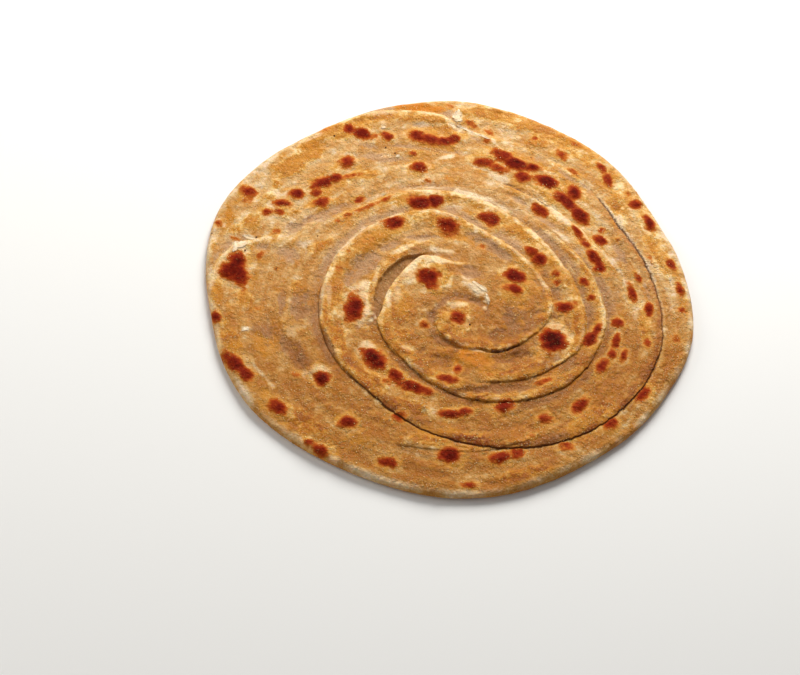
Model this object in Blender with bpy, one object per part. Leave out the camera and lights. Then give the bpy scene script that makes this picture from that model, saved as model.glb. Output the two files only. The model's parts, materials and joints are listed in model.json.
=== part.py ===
"""A layered (laccha) paratha: one round flatbread, 160 mm across.

The real bread is made from a pleated rope of dough, wound into a flat coil,
rolled out and fried. Each turn of the coil overlaps the turn outside it, so
the top is a set of spiral lips, like shingles that all face outwards. It is
one piece, so it is one closed solid, which lies flat with its best side up.

Sizes are in millimetres, and the mesh is scaled to metres at the end.
Angles are in degrees, anticlockwise from +X. A lip's angles run on past 360
as the lip winds outwards.
"""

import math

import bpy
import numpy as np
from mathutils import Vector
from mathutils.geometry import delaunay_2d_cdt

MM = 0.001

# Overall size
RADIUS = 80.0              # mean radius of the bread
THICK_MIDDLE = 4.5         # thickness of the dough in the middle
THICK_RIM = 3.3            # and next to the rounded rim
RIM_ROUND = 2.4            # how far in from the outline the top starts to round off
RIM_MIDDLE = 1.5           # height of the widest line of the rim
BASE_INSET = 1.6           # the flat underside stops this far inside the outline

# The coil
EYE = (5.0, -13.0)         # the coil's centre, off the middle of the bread
LIP_LENGTH = 8.0           # a turn starts to rise this far inside its lip
LIP_ROUND = 0.7            # the lip's top edge rounds off over this width
FOOT = 0.5                 # the step down outside a lip is this wide
LOW_LENGTH = 5.0           # and the dough outside it comes back up over this length
RISE_SHARE = 0.6           # share of the step that stands above the mean surface

# The gap that stands open outside one lip, seen from above as a crescent
GAP_START, GAP_END = 123.0, 187.0
GAP_WIDTH = 4.6
GAP_DEPTH = 1.1

# How finely the top is divided
LIP_POINT_SPACING = 2.5
FILL_SPACING = 3.25
CLEAR_OF_LIP = 1.3
RIM_POINTS = 150

# The outline swells and dips round its circle: angle, spread in degrees, height
OUTLINE_SWELLS = [
    (-8, 12, 1.7), (30, 15, -2.2), (92, 12, 1.6), (126, 13, -1.1), (163, 15, 2.4),
    (195, 10, -1.0), (222, 10, 0.8), (250, 13, -0.8), (280, 14, 0.8), (308, 13, -0.9),
]

# The lips. Each knot is angle about the eye, distance from the eye, height of
# the step there. A height that goes to 0 lets the lip melt into the dough.
MAIN_LIP = [
    (150, 11.0, 0.0), (180, 8.8, 0.5), (240, 9.7, 0.8), (285, 12.6, 0.9), (303, 14.1, 1.0),
    (312, 16.6, 1.2), (345, 22.6, 1.3), (380, 31.0, 1.3), (410, 32.6, 1.2), (440, 36.0, 1.3),
    (470, 45.0, 1.4), (500, 47.0, 1.4), (529, 46.8, 1.3), (561, 45.0, 1.3), (590, 42.4, 1.3),
    (630, 47.0, 1.2), (690, 60.0, 1.1), (720, 65.2, 1.1), (760, 66.4, 1.0), (777, 71.8, 0.4),
    (800, 77.6, 0.3), (814, 81.2, 0.6), (819, 87.0, 1.0), (830, 90.7, 0.9), (840, 92.2, 0.5),
]
INNER_LIP = [
    (70, 21.5, 0.0), (100, 22.6, 0.7), (123, 27.4, 1.0), (151, 25.9, 0.9), (180, 25.9, 0.9),
    (191, 27.4, 1.2), (230, 25.6, 1.2), (255, 27.9, 1.2), (285, 32.5, 1.1), (331, 42.0, 1.1),
    (350, 45.0, 1.0), (370, 47.4, 0.9), (400, 47.0, 0.6), (417, 46.5, 0.0),
]
PLEAT_LIP = [
    (275, 24.0, 0.0), (300, 27.4, 0.6), (330, 33.8, 0.9), (356, 40.3, 0.8), (390, 40.6, 0.8),
    (420, 43.8, 0.8), (450, 50.4, 0.9), (480, 55.0, 0.8), (495, 55.7, 0.6), (508, 62.4, 0.5),
    (516, 66.0, 0.5), (521, 73.0, 0.9), (526, 79.5, 1.1), (531, 82.4, 0.8),
]
FINE_PLEATS = [
    [(5, 56.5, 0.0), (20, 56.0, 0.3), (42, 55.6, 0.3), (70, 57.6, 0.3), (88, 58.6, 0.0)],
    [(176, 60.5, 0.0), (190, 59.0, 0.3), (212, 53.5, 0.3), (228, 51.0, 0.0)],
    [(96, 63.0, 0.0), (112, 66.0, 0.3), (130, 70.0, 0.3), (142, 74.0, 0.0)],
    [(236, 58.0, 0.0), (262, 52.0, 0.4), (292, 50.5, 0.4), (318, 53.0, 0.0)],
]
LIPS = [MAIN_LIP, INNER_LIP, PLEAT_LIP] + FINE_PLEATS

# Long, low swells of the hand-rolled dough: direction, wave length, height, phase
DOUGH_SWELLS = [(25, 47, 0.14, 0.4), (112, 39, 0.12, 2.0), (170, 29, 0.08, 4.1)]

COLOUR = (0.60, 0.32, 0.11, 1.0)


def smoothstep(value, low, high):
    t = np.clip((value - low) / (high - low), 0.0, 1.0)
    return t * t * (3.0 - 2.0 * t)


def along(knots, angle, column):
    """A knot column's value at an angle, on a smooth curve that never overshoots."""
    x = np.array([knot[0] for knot in knots], dtype=float)
    y = np.array([knot[column] for knot in knots], dtype=float)
    step = np.diff(x)
    slope = np.diff(y) / step
    tangent = np.zeros_like(y)
    same_way = slope[:-1] * slope[1:] > 0
    harmonic = 2.0 * slope[:-1] * slope[1:] / np.where(same_way, slope[:-1] + slope[1:], 1.0)
    tangent[1:-1] = np.where(same_way, harmonic, 0.0)
    tangent[0], tangent[-1] = slope[0], slope[-1]
    i = np.clip(np.searchsorted(x, angle, side="right") - 1, 0, len(x) - 2)
    h = step[i]
    t = np.clip((angle - x[i]) / h, 0.0, 1.0)
    return ((1 + 2 * t) * (1 - t) ** 2 * y[i] + t * (1 - t) ** 2 * h * tangent[i]
            + t * t * (3 - 2 * t) * y[i + 1] + t * t * (t - 1) * h * tangent[i + 1])


def windings(lip):
    """The whole turns to add to an angle of 0 to 360 to reach each part of a lip."""
    first = math.floor(lip[0][0] / 360.0)
    last = math.floor(lip[-1][0] / 360.0)
    return [360.0 * turn for turn in range(first, last + 1)]


def outline_radius(angle):
    """Distance from the middle of the bread to its outline."""
    radius = np.full(np.shape(angle), RADIUS)
    for centre, spread, height in OUTLINE_SWELLS:
        away = (angle - centre + 180.0) % 360.0 - 180.0
        radius = radius + height * np.exp(-(away / spread) ** 2)
    return radius


def gap_width(angle):
    """How far the crescent gap stands open outside the inner lip."""
    t = np.clip((angle - GAP_START) / (GAP_END - GAP_START), 0.0, 1.0)
    return GAP_WIDTH * np.sin(math.pi * t) ** 0.8


def lip_relief(distance, step):
    """Height added by one lip, at a distance outside (+) or inside (-) its edge."""
    rise = smoothstep(distance, -LIP_LENGTH, 0.5 * LIP_ROUND)
    edge = 0.12 * smoothstep(distance, -LIP_ROUND, 0.0)
    inside = RISE_SHARE * rise - edge
    recover = np.clip((distance - FOOT) / LOW_LENGTH, 0.0, 1.0)
    outside = -(1.0 - RISE_SHARE) * (1.0 - recover) ** 2
    fall = smoothstep(distance, 0.0, FOOT)
    return step * (inside * (1.0 - fall) + outside * fall)


def top_height(x, y):
    """Height of the top of the bread, before the rim rounds off."""
    rho = np.hypot(x, y) / outline_radius(np.degrees(np.arctan2(y, x)))
    height = THICK_RIM + (THICK_MIDDLE - THICK_RIM) * (1.0 - rho ** 2)
    for direction, length, size, phase in DOUGH_SWELLS:
        turn = math.radians(direction)
        across = x * math.cos(turn) + y * math.sin(turn)
        height = height + size * np.sin(2 * math.pi * across / length + phase)
    r = np.hypot(x - EYE[0], y - EYE[1])
    theta = np.degrees(np.arctan2(y - EYE[1], x - EYE[0])) % 360.0
    for lip in LIPS:
        for turn in windings(lip):
            angle = theta + turn
            on_lip = (angle >= lip[0][0]) & (angle <= lip[-1][0])
            step = np.where(on_lip, along(lip, angle, 2), 0.0)
            height = height + lip_relief(r - along(lip, angle, 1), step)
    past_lip = r - along(INNER_LIP, theta, 1)
    width = gap_width(theta)
    floor = smoothstep(past_lip, 0.0, 0.4) * (1.0 - smoothstep(past_lip, width - 0.6, width + 0.2))
    return height - GAP_DEPTH * floor * smoothstep(width, 0.2, 1.5)


def lip_rows():
    """Rows of points along each lip: its top edge, its foot, and the gap's outer edge."""
    rows = []
    for lip in LIPS:
        length = 0.0
        angle = lip[0][0]
        angles = []
        while angle <= lip[-1][0]:
            angles.append(angle)
            angle += math.degrees(LIP_POINT_SPACING / along(lip, angle, 1))
        angles = np.array(angles)
        radius = along(lip, angles, 1)
        rows.append((angles, radius))
        rows.append((angles, radius + FOOT))
    angles = np.arange(GAP_START + 6.0, GAP_END - 5.0, 5.0)
    outer = along(INNER_LIP, angles, 1) + gap_width(angles)
    rows.append((angles, outer - 0.6))
    rows.append((angles, outer + 0.2))
    return [polar_row(angles, radius) for angles, radius in rows]


def polar_row(angles, radius):
    turn = np.radians(angles)
    return np.column_stack((EYE[0] + radius * np.cos(turn), EYE[1] + radius * np.sin(turn)))


def ring(inset):
    """Points round the bread, a given distance inside its outline."""
    angles = np.arange(RIM_POINTS) * 360.0 / RIM_POINTS
    radius = outline_radius(angles) - inset
    turn = np.radians(angles)
    return np.column_stack((radius * np.cos(turn), radius * np.sin(turn)))


def inside_by(points):
    """How far points lie inside the line where the rim starts to round off."""
    angle = np.degrees(np.arctan2(points[:, 1], points[:, 0]))
    return outline_radius(angle) - RIM_ROUND - np.hypot(points[:, 0], points[:, 1])


def fill_points(rows):
    """A triangular grid of points over the bread, kept clear of the lips."""
    across = np.arange(-RADIUS - 3, RADIUS + 3, FILL_SPACING)
    up = np.arange(-RADIUS - 3, RADIUS + 3, FILL_SPACING * math.sqrt(3) / 2)
    points = [(x + (i % 2) * FILL_SPACING / 2, y) for i, y in enumerate(up) for x in across]
    points = np.array(points)
    points = points[inside_by(points) > 0.5 * FILL_SPACING]
    for row in rows:
        away = np.hypot(points[:, None, 0] - row[None, :, 0], points[:, None, 1] - row[None, :, 1])
        points = points[away.min(axis=1) > CLEAR_OF_LIP]
    return points


def top_triangles():
    """The top as a net of triangles whose edges run along the lips."""
    points = [tuple(p) for p in ring(RIM_ROUND)]
    edges = [(i, (i + 1) % RIM_POINTS) for i in range(RIM_POINTS)]
    rows = lip_rows()
    for row in rows:
        kept = inside_by(row) > 0.8
        for i, point in enumerate(row):
            if not kept[i]:
                continue
            if i > 0 and kept[i - 1]:
                edges.append((len(points) - 1, len(points)))
            points.append(tuple(point))
    points += [tuple(p) for p in fill_points(rows)]
    flat = [Vector(p) for p in points]
    corners, _, faces, origins, _, _ = delaunay_2d_cdt(flat, edges, [], 1, 1e-4)
    corners = np.array([(c.x, c.y) for c in corners])
    rim = {}
    for corner, sources in enumerate(origins):
        for source in sources:
            if source < RIM_POINTS:
                rim[source] = corner
    return corners, faces, [rim[i] for i in range(RIM_POINTS)]


def paratha_mesh():
    """The whole bread: the coiled top, the rounded rim and the flat underside."""
    corners, faces, shoulder = top_triangles()
    heights = top_height(corners[:, 0], corners[:, 1])
    points = [(x, y, z) for (x, y), z in zip(corners, heights)]
    used = sorted({corner for face in faces for corner in face})
    renumber = {corner: i for i, corner in enumerate(used)}
    points = [points[corner] for corner in used]
    faces = [[renumber[corner] for corner in face] for face in faces]
    above = [renumber[corner] for corner in shoulder]
    shoulder_height = np.array([points[i][2] for i in above])
    rounds = [
        (0.9, RIM_MIDDLE + 0.72 * (shoulder_height - RIM_MIDDLE)),
        (0.0, np.full(RIM_POINTS, RIM_MIDDLE)),
        (0.35, np.full(RIM_POINTS, 0.45 * RIM_MIDDLE)),
        (BASE_INSET, np.zeros(RIM_POINTS)),
    ]
    for inset, level in rounds:
        start = len(points)
        points += [(x, y, z) for (x, y), z in zip(ring(inset), level)]
        below = list(range(start, start + RIM_POINTS))
        for i in range(RIM_POINTS):
            j = (i + 1) % RIM_POINTS
            faces.append([above[i], below[i], below[j]])
            faces.append([above[i], below[j], above[j]])
        above = below
    faces.append(above[::-1])
    return points, faces


def centred(points):
    """The points moved so that the middle of the outline's box is the origin, in metres."""
    points = np.array(points)
    middle = 0.5 * (points[:, :2].min(axis=0) + points[:, :2].max(axis=0))
    points[:, :2] -= middle
    return (points * MM).tolist()


def dough_material():
    material = bpy.data.materials.new("toasted dough")
    material.use_nodes = True
    shader = material.node_tree.nodes["Principled BSDF"]
    shader.inputs["Base Color"].default_value = COLOUR
    shader.inputs["Roughness"].default_value = 0.6
    shader.inputs["Metallic"].default_value = 0.0
    return material


def make_paratha():
    points, faces = paratha_mesh()
    mesh = bpy.data.meshes.new("paratha")
    mesh.from_pydata(centred(points), [], faces)
    mesh.materials.append(dough_material())
    mesh.shade_smooth()
    mesh.set_sharp_from_angle(angle=math.radians(35))
    paratha = bpy.data.objects.new("paratha", mesh)
    bpy.context.scene.collection.objects.link(paratha)
    return paratha


for old in list(bpy.data.objects):
    bpy.data.objects.remove(old)

paratha = make_paratha()
print("paratha:", len(paratha.data.polygons), "faces, size",
      [round(side * 1000, 1) for side in paratha.dimensions], "mm")
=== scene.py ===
# %% [markdown]
# # A layered paratha
# A laccha paratha is made from one rope of pleated dough. The rope is wound into
# a flat coil, rolled out and fried in a pan. Each turn of the coil overlaps the
# turn outside it, so the top shows spiral lips, like shingles that face outwards.
#
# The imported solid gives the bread's box, its outline and its main steps. This
# script replaces that plain solid with a finely divided one that has ragged
# lips, undercut cracks, blisters and a grainy, oiled crust, and adds the torn
# flakes, the grains of semolina and the specks of bran that lie on it.

# %% Load the frame
import json
import math
import random

import bpy
import numpy as np
from mathutils import Matrix, Vector
from mathutils.bvhtree import BVHTree

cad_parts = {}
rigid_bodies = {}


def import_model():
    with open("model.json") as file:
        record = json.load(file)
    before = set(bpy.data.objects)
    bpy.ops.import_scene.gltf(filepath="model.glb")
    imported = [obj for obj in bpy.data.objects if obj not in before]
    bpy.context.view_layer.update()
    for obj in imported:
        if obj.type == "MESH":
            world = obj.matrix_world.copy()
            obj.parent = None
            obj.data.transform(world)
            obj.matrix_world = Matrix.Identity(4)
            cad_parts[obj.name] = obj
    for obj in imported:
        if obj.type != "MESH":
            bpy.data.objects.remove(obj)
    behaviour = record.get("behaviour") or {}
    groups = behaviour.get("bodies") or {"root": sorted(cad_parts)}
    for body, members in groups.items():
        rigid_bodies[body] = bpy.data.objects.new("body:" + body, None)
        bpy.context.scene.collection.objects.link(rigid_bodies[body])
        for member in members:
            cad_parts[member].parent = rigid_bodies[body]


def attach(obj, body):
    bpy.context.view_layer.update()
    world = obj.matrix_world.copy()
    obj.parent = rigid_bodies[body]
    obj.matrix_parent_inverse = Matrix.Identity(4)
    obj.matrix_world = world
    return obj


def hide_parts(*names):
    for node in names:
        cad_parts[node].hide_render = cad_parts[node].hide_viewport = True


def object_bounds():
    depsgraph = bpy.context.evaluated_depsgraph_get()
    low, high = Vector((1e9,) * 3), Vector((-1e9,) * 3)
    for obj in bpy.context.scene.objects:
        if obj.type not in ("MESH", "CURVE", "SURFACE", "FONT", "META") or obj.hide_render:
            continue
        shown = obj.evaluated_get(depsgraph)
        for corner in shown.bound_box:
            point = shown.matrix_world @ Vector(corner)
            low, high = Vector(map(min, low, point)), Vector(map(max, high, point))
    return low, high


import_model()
cad_low, cad_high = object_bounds()
MM = 0.001
print("solid's box in mm:", [round(v / MM, 1) for v in (*cad_low, *cad_high)])

# %% [markdown]
# ## Standing where the eye stands
# The bread is seen from in front and above, at 54.5 degrees, with the head tilted
# a little to one side. A long lens keeps the disc's far edge nearly as wide as
# its near edge. The camera could be aimed with a constraint, but a plain matrix
# built from three directions is exact and easy to read.

# %% Camera
ELEVATION = math.radians(54.55)
ROLL = math.radians(6.05)
DISTANCE = 729.7 * MM
AIM_ACROSS = -16.22 * MM
AIM_UP = -17.73 * MM
AIM_POINT = Vector((-0.18, -0.55, 4.0)) * MM
LENS = 100.0


def add_camera():
    data = bpy.data.cameras.new("camera")
    data.lens = LENS
    camera = bpy.data.objects.new("camera", data)
    bpy.context.scene.collection.objects.link(camera)
    back = Vector((0, -math.cos(ELEVATION), math.sin(ELEVATION)))
    level = Vector((1, 0, 0))
    upright = back.cross(level)
    right = math.cos(ROLL) * level + math.sin(ROLL) * upright
    up = -math.sin(ROLL) * level + math.cos(ROLL) * upright
    place = back * DISTANCE + right * AIM_ACROSS + up * AIM_UP + AIM_POINT
    turn = Matrix((right, up, back)).transposed().to_4x4()
    camera.matrix_world = Matrix.Translation(place) @ turn
    bpy.context.scene.camera = camera
    return camera


camera = add_camera()
bpy.context.scene.view_settings.view_transform = "Standard"
print("camera at", [round(v, 3) for v in camera.matrix_world.translation])

# %% [markdown]
# ## Soft light from behind
# Food looks appetising when the main light comes from behind and one side: it
# rakes over the lips, so each one gets a bright top and a soft shadow at its
# foot, and the oil on the crust picks up a sheen. A wide lamp behind does that,
# weaker ones at the left and in front fill the shadows, and a pale world lights
# the rest.

# %% Lamps and world
LAMPS = [
    # name, place in metres, width, watts, colour
    ("window_behind", (0.10, 0.50, 0.40), 0.40, 5.85, (1.0, 0.98, 0.94)),
    ("window_left", (-0.55, 0.05, 0.30), 0.35, 1.15, (1.0, 0.96, 0.90)),
    ("fill_front", (-0.35, -0.75, 0.9), 0.9, 0.9, (1.0, 0.98, 0.95)),
]
WORLD_STRENGTH = 0.20


def add_lamp(name, place, width, watts, colour):
    data = bpy.data.lights.new(name, "AREA")
    data.shape = "DISK"
    data.size = width
    data.energy = watts
    data.color = colour
    lamp = bpy.data.objects.new(name, data)
    bpy.context.scene.collection.objects.link(lamp)
    lamp.location = place
    lamp.rotation_euler = (-Vector(place)).to_track_quat("-Z", "Y").to_euler()
    return lamp


for lamp in LAMPS:
    add_lamp(*lamp)
world = bpy.data.worlds.new("pale room")
bpy.context.scene.world = world
world.use_nodes = True
world.node_tree.nodes["Background"].inputs["Color"].default_value = (1.0, 1.0, 1.0, 1)
world.node_tree.nodes["Background"].inputs["Strength"].default_value = WORLD_STRENGTH
print(len(LAMPS), "lamps and a pale world")

# %% [markdown]
# ## The coil, as numbers
# A lip is a curve round the coil's eye. Each knot below gives the angle round
# the eye in degrees, the distance from it in millimetres, the height of the step
# there, and how dark the crack under it is; that darkness is painted shade.
# Angles run past 360 as a lip winds out. These are the same curves as in the
# solid, so the fine surface fits it.

# %% Sizes and lips
EYE = (5.0, -13.0)
RADIUS = 80.0
THICK_MIDDLE = 4.05
THICK_RIM = 3.15
RIM_ROUND = 2.4
RIM_MIDDLE = 1.5
BASE_INSET = 1.6
LIP_LENGTH = 8.0
LOW_LENGTH = 5.0
RISE_SHARE = 0.6
GAP_START, GAP_END, GAP_WIDTH, GAP_DEPTH = 117.0, 191.0, 4.6, 1.2

OUTLINE_SWELLS = [
    (-8, 12, 1.7), (30, 15, -2.2), (92, 12, 1.6), (126, 13, -1.1), (163, 15, 2.4), (195, 10, -1.0),
    (222, 10, 0.8), (250, 13, -0.8), (280, 14, 0.8), (308, 13, -0.9),
]
MAIN_LIP = [
    (150, 11.0, 0.0, 0.0), (180, 8.8, 0.5, 0.0), (240, 9.7, 0.8, 0.3), (285, 12.6, 0.9, 0.3),
    (303, 14.1, 1.0, 0.5), (312, 16.6, 1.2, 1.0), (330, 19.7, 1.3, 0.8), (345, 22.6, 1.3, 0.4),
    (380, 31.0, 1.3, 0.2), (410, 32.6, 1.2, 0.2), (440, 36.0, 1.3, 0.4), (470, 45.0, 1.4, 0.3),
    (500, 47.0, 1.4, 0.3), (529, 46.8, 1.3, 0.7), (561, 45.0, 1.3, 1.0), (590, 42.4, 1.3, 1.0),
    (630, 47.0, 1.2, 0.8), (690, 60.0, 1.1, 0.8), (720, 65.2, 1.1, 1.0), (760, 66.4, 1.0, 1.0),
    (771, 69.4, 0.7, 1.0), (777, 71.8, 0.4, 0.4), (800, 77.6, 0.3, 0.0), (814, 81.2, 0.6, 0.2),
    (819, 87.0, 1.0, 0.2), (830, 90.7, 0.9, 0.2), (840, 92.2, 0.5, 0.1), (856, 95.0, 0.0, 0.0),
]
INNER_LIP = [
    (70, 21.5, 0.0, 0.0), (100, 22.6, 0.7, 0.1), (123, 27.4, 1.0, 0.4), (151, 25.9, 0.9, 0.4),
    (180, 25.9, 0.9, 0.5), (191, 27.4, 1.2, 1.0), (230, 25.6, 1.2, 1.0), (255, 27.9, 1.2, 1.0),
    (285, 32.5, 1.1, 0.8), (331, 42.0, 1.1, 0.9), (350, 45.0, 1.0, 0.5), (370, 47.4, 0.9, 0.2),
    (400, 47.2, 0.6, 0.4), (417, 47.4, 0.4, 0.7), (432, 46.6, 0.0, 0.1),
]
PLEAT_LIP = [
    (275, 24.0, 0.0, 0.0), (300, 27.4, 0.6, 0.7), (330, 33.8, 0.9, 0.7), (356, 40.3, 0.8, 0.3),
    (390, 40.6, 0.8, 0.2), (420, 43.8, 0.8, 0.4), (450, 50.4, 0.9, 0.2), (480, 55.0, 0.5, 0.1),
    (495, 55.7, 0.3, 0.2), (508, 62.4, 0.3, 0.6), (516, 66.0, 0.4, 0.2), (521, 73.0, 0.7, 0.1),
    (526, 79.5, 1.0, 0.3), (531, 82.4, 0.8, 0.3), (541, 84.0, 0.0, 0.0),
]
FINE_PLEATS = [
    [(5, 56.5, 0.0, 0.0), (20, 56.0, 0.3, 0.5), (42, 55.6, 0.3, 0.5), (70, 57.6, 0.3, 0.6),
     (88, 58.6, 0.0, 0.0)],
    [(176, 60.5, 0.0, 0.0), (190, 59.0, 0.3, 0.2), (212, 53.5, 0.3, 0.2), (228, 51.0, 0.0, 0.0)],
    [(96, 63.0, 0.0, 0.0), (112, 66.0, 0.3, 0.2), (130, 70.0, 0.3, 0.1), (142, 74.0, 0.0, 0.0)],
    [(236, 58.0, 0.0, 0.0), (262, 52.0, 0.4, 0.4), (292, 50.5, 0.4, 0.4), (318, 53.0, 0.0, 0.0)],
]
LIPS = [MAIN_LIP, INNER_LIP, PLEAT_LIP] + FINE_PLEATS
DOUGH_SWELLS = [(25, 47, 0.14, 0.4), (112, 39, 0.12, 2.0), (170, 29, 0.08, 4.1)]
print(len(LIPS), "lips and pleats")


# %% Curves through the knots
def smoothstep(value, low, high):
    t = np.clip((value - low) / (high - low), 0.0, 1.0)
    return t * t * (3.0 - 2.0 * t)


def band(value, start, begun, end, ended):
    """1 between two edges and 0 beyond them, with smooth sides."""
    return smoothstep(value, start, begun) * (1 - smoothstep(value, end, ended))


def bell(value, centre, width):
    return np.exp(-((value - centre) / width) ** 2)


def along(knots, angle, column):
    """A knot column's value at an angle, on a smooth curve that never overshoots."""
    x = np.array([knot[0] for knot in knots], dtype=float)
    y = np.array([knot[column] for knot in knots], dtype=float)
    step = np.diff(x)
    slope = np.diff(y) / step
    tangent = np.zeros_like(y)
    same_way = slope[:-1] * slope[1:] > 0
    harmonic = 2.0 * slope[:-1] * slope[1:] / np.where(same_way, slope[:-1] + slope[1:], 1.0)
    tangent[1:-1] = np.where(same_way, harmonic, 0.0)
    tangent[0], tangent[-1] = slope[0], slope[-1]
    i = np.clip(np.searchsorted(x, angle, side="right") - 1, 0, len(x) - 2)
    h = step[i]
    t = np.clip((angle - x[i]) / h, 0.0, 1.0)
    return ((1 + 2 * t) * (1 - t) ** 2 * y[i] + t * (1 - t) ** 2 * h * tangent[i]
            + t * t * (3 - 2 * t) * y[i + 1] + t * t * (t - 1) * h * tangent[i + 1])


def outline_radius(angle):
    """Distance from the middle of the bread to its outline."""
    radius = np.full(np.shape(angle), RADIUS)
    for centre, spread, height in OUTLINE_SWELLS:
        away = (angle - centre + 180.0) % 360.0 - 180.0
        radius = radius + height * np.exp(-(away / spread) ** 2)
    return radius


round_trip = np.arange(0.0, 360.0, 2.4)
outline_x = outline_radius(round_trip) * np.cos(np.radians(round_trip))
outline_y = outline_radius(round_trip) * np.sin(np.radians(round_trip))
MIDDLE = (0.5 * (outline_x.min() + outline_x.max()), 0.5 * (outline_y.min() + outline_y.max()))
print("the outline's middle is moved to the origin by", [round(v, 2) for v in MIDDLE], "mm")


# %% [markdown]
# ## Noise that the mesh and the colours share
# Hand-made dough is uneven in a smooth way. A grid of random heights, blended
# with smooth weights, gives such unevenness at any wanted size. The random
# numbers come from a fixed hash of the grid cell, so each run is the same. The
# last number in each call is a seed: another seed gives another pattern.

# %% Smooth noise
def cell_value(ix, iy, seed):
    mixed = np.sin(ix * 127.1 + iy * 311.7 + seed * 74.7) * 43758.5453
    return mixed - np.floor(mixed)


def noise(x, y, seed):
    """Smooth noise from -1 to 1, whose bumps are one unit apart."""
    ix, iy = np.floor(x), np.floor(y)
    tx, ty = x - ix, y - iy
    tx = tx * tx * tx * (tx * (tx * 6 - 15) + 10)
    ty = ty * ty * ty * (ty * (ty * 6 - 15) + 10)
    low = cell_value(ix, iy, seed) * (1 - tx) + cell_value(ix + 1, iy, seed) * tx
    high = cell_value(ix, iy + 1, seed) * (1 - tx) + cell_value(ix + 1, iy + 1, seed) * tx
    return 2.0 * (low * (1 - ty) + high * ty) - 1.0


def round_noise(radius, angle, size, count, seed):
    """Noise drawn out along circles: `size` mm across, `count` bumps to a full turn."""
    x, y = radius / size, np.mod(angle, 360.0) / 360.0 * count
    ix, iy = np.floor(x), np.floor(y)
    tx, ty = x - ix, y - iy
    tx, ty = tx * tx * (3 - 2 * tx), ty * ty * (3 - 2 * ty)
    after = np.mod(iy + 1, count)
    low = cell_value(ix, iy, seed) * (1 - tx) + cell_value(ix + 1, iy, seed) * tx
    high = cell_value(ix, after, seed) * (1 - tx) + cell_value(ix + 1, after, seed) * tx
    return 2.0 * (low * (1 - ty) + high * ty) - 1.0


def rough(x, y, size, seed):
    """Three layers of noise, the largest bumps being `size` millimetres apart."""
    total = noise(x / size, y / size, seed)
    total = total + 0.5 * noise(2.1 * x / size + 7.3, 2.1 * y / size - 2.9, seed + 1)
    return (total + 0.25 * noise(4.3 * x / size - 4.1, 4.3 * y / size + 8.7, seed + 2)) / 1.75


print("noise sample:", round(float(rough(12.0, 3.0, 5.0, 1)), 3))

# %% [markdown]
# ## One line, spun into a disc
# A disc could be a grid cut to a circle, but the coil runs round its eye, so a
# wheel of rings and spokes follows the lips far better. It starts as a grid one
# cell deep, cut down to a single line. The spin operator could turn that line
# round the axis, but it is slow with this many steps, so a Screw modifier with
# no climb does it, and merging by distance closes the inner pole. At this stage
# each ring's number is simply its radius.

# %% Spin the wheel
SPOKES = 480
TOP_RINGS = 140
UNDER_RINGS = 58
RINGS = TOP_RINGS + UNDER_RINGS


def select_only(*pieces):
    """Selects just these pieces and makes the first one active."""
    for item in bpy.context.view_layer.objects.selected[:]:
        item.select_set(False)
    for piece in pieces:
        piece.select_set(True)
    if pieces:
        bpy.context.view_layer.objects.active = pieces[0]


def select_points(piece, wanted):
    """Opens edit mode with just the wanted points selected."""
    bpy.ops.object.mode_set(mode="EDIT")
    bpy.ops.mesh.select_mode(type="VERT")
    bpy.ops.mesh.select_all(action="DESELECT")
    bpy.ops.object.mode_set(mode="OBJECT")
    for vertex in piece.data.vertices:
        vertex.select = wanted(vertex.co)
    bpy.ops.object.mode_set(mode="EDIT")


def spin_wheel(name):
    """A flat wheel whose ring number is its radius in metres, round the origin."""
    select_only()
    bpy.ops.mesh.primitive_grid_add(x_subdivisions=RINGS, y_subdivisions=1, size=RINGS,
                                    location=(RINGS / 2, -RINGS / 2, 0))
    wheel = bpy.context.object
    wheel.name = wheel.data.name = name
    bpy.ops.object.transform_apply(location=True, rotation=True, scale=True)
    select_points(wheel, lambda place: place.y < -RINGS / 2)
    bpy.ops.mesh.delete(type="VERT")
    bpy.ops.object.mode_set(mode="OBJECT")
    turn = wheel.modifiers.new("turn", "SCREW")
    turn.steps = turn.render_steps = SPOKES
    turn.use_merge_vertices = True
    turn.merge_threshold = 0.0001
    bpy.ops.object.modifier_apply(modifier=turn.name)
    bpy.ops.object.mode_set(mode="EDIT")
    bpy.ops.mesh.select_all(action="SELECT")
    bpy.ops.mesh.remove_doubles(threshold=0.0001)
    bpy.ops.object.mode_set(mode="OBJECT")
    return wheel


dough = spin_wheel("paratha_dough")
print("wheel:", len(dough.data.vertices), "points,", len(dough.data.polygons), "faces")

# %% [markdown]
# ## Where the rings go
# Evenly spaced rings would blur the lips, which are only half a millimetre wide.
# So along each spoke the rings are crowded near every lip and near the rim, and
# spread out on the smooth dough between. The crowding is a density that is
# summed along the spoke, and each ring sits where the sum reaches its share.

# %% Lips along each spoke
RAGGED = 0.26
FOLDED_EDGE = (572, 600, 768, 780)  # degrees between which the main lip is painted as a sharp fold, with painted shade and a painted highlight
OPEN_FOLD = (757, 17)  # degrees where that fold stands open, and how far it spreads

spoke_angles = np.arange(SPOKES) * 360.0 / SPOKES


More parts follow.
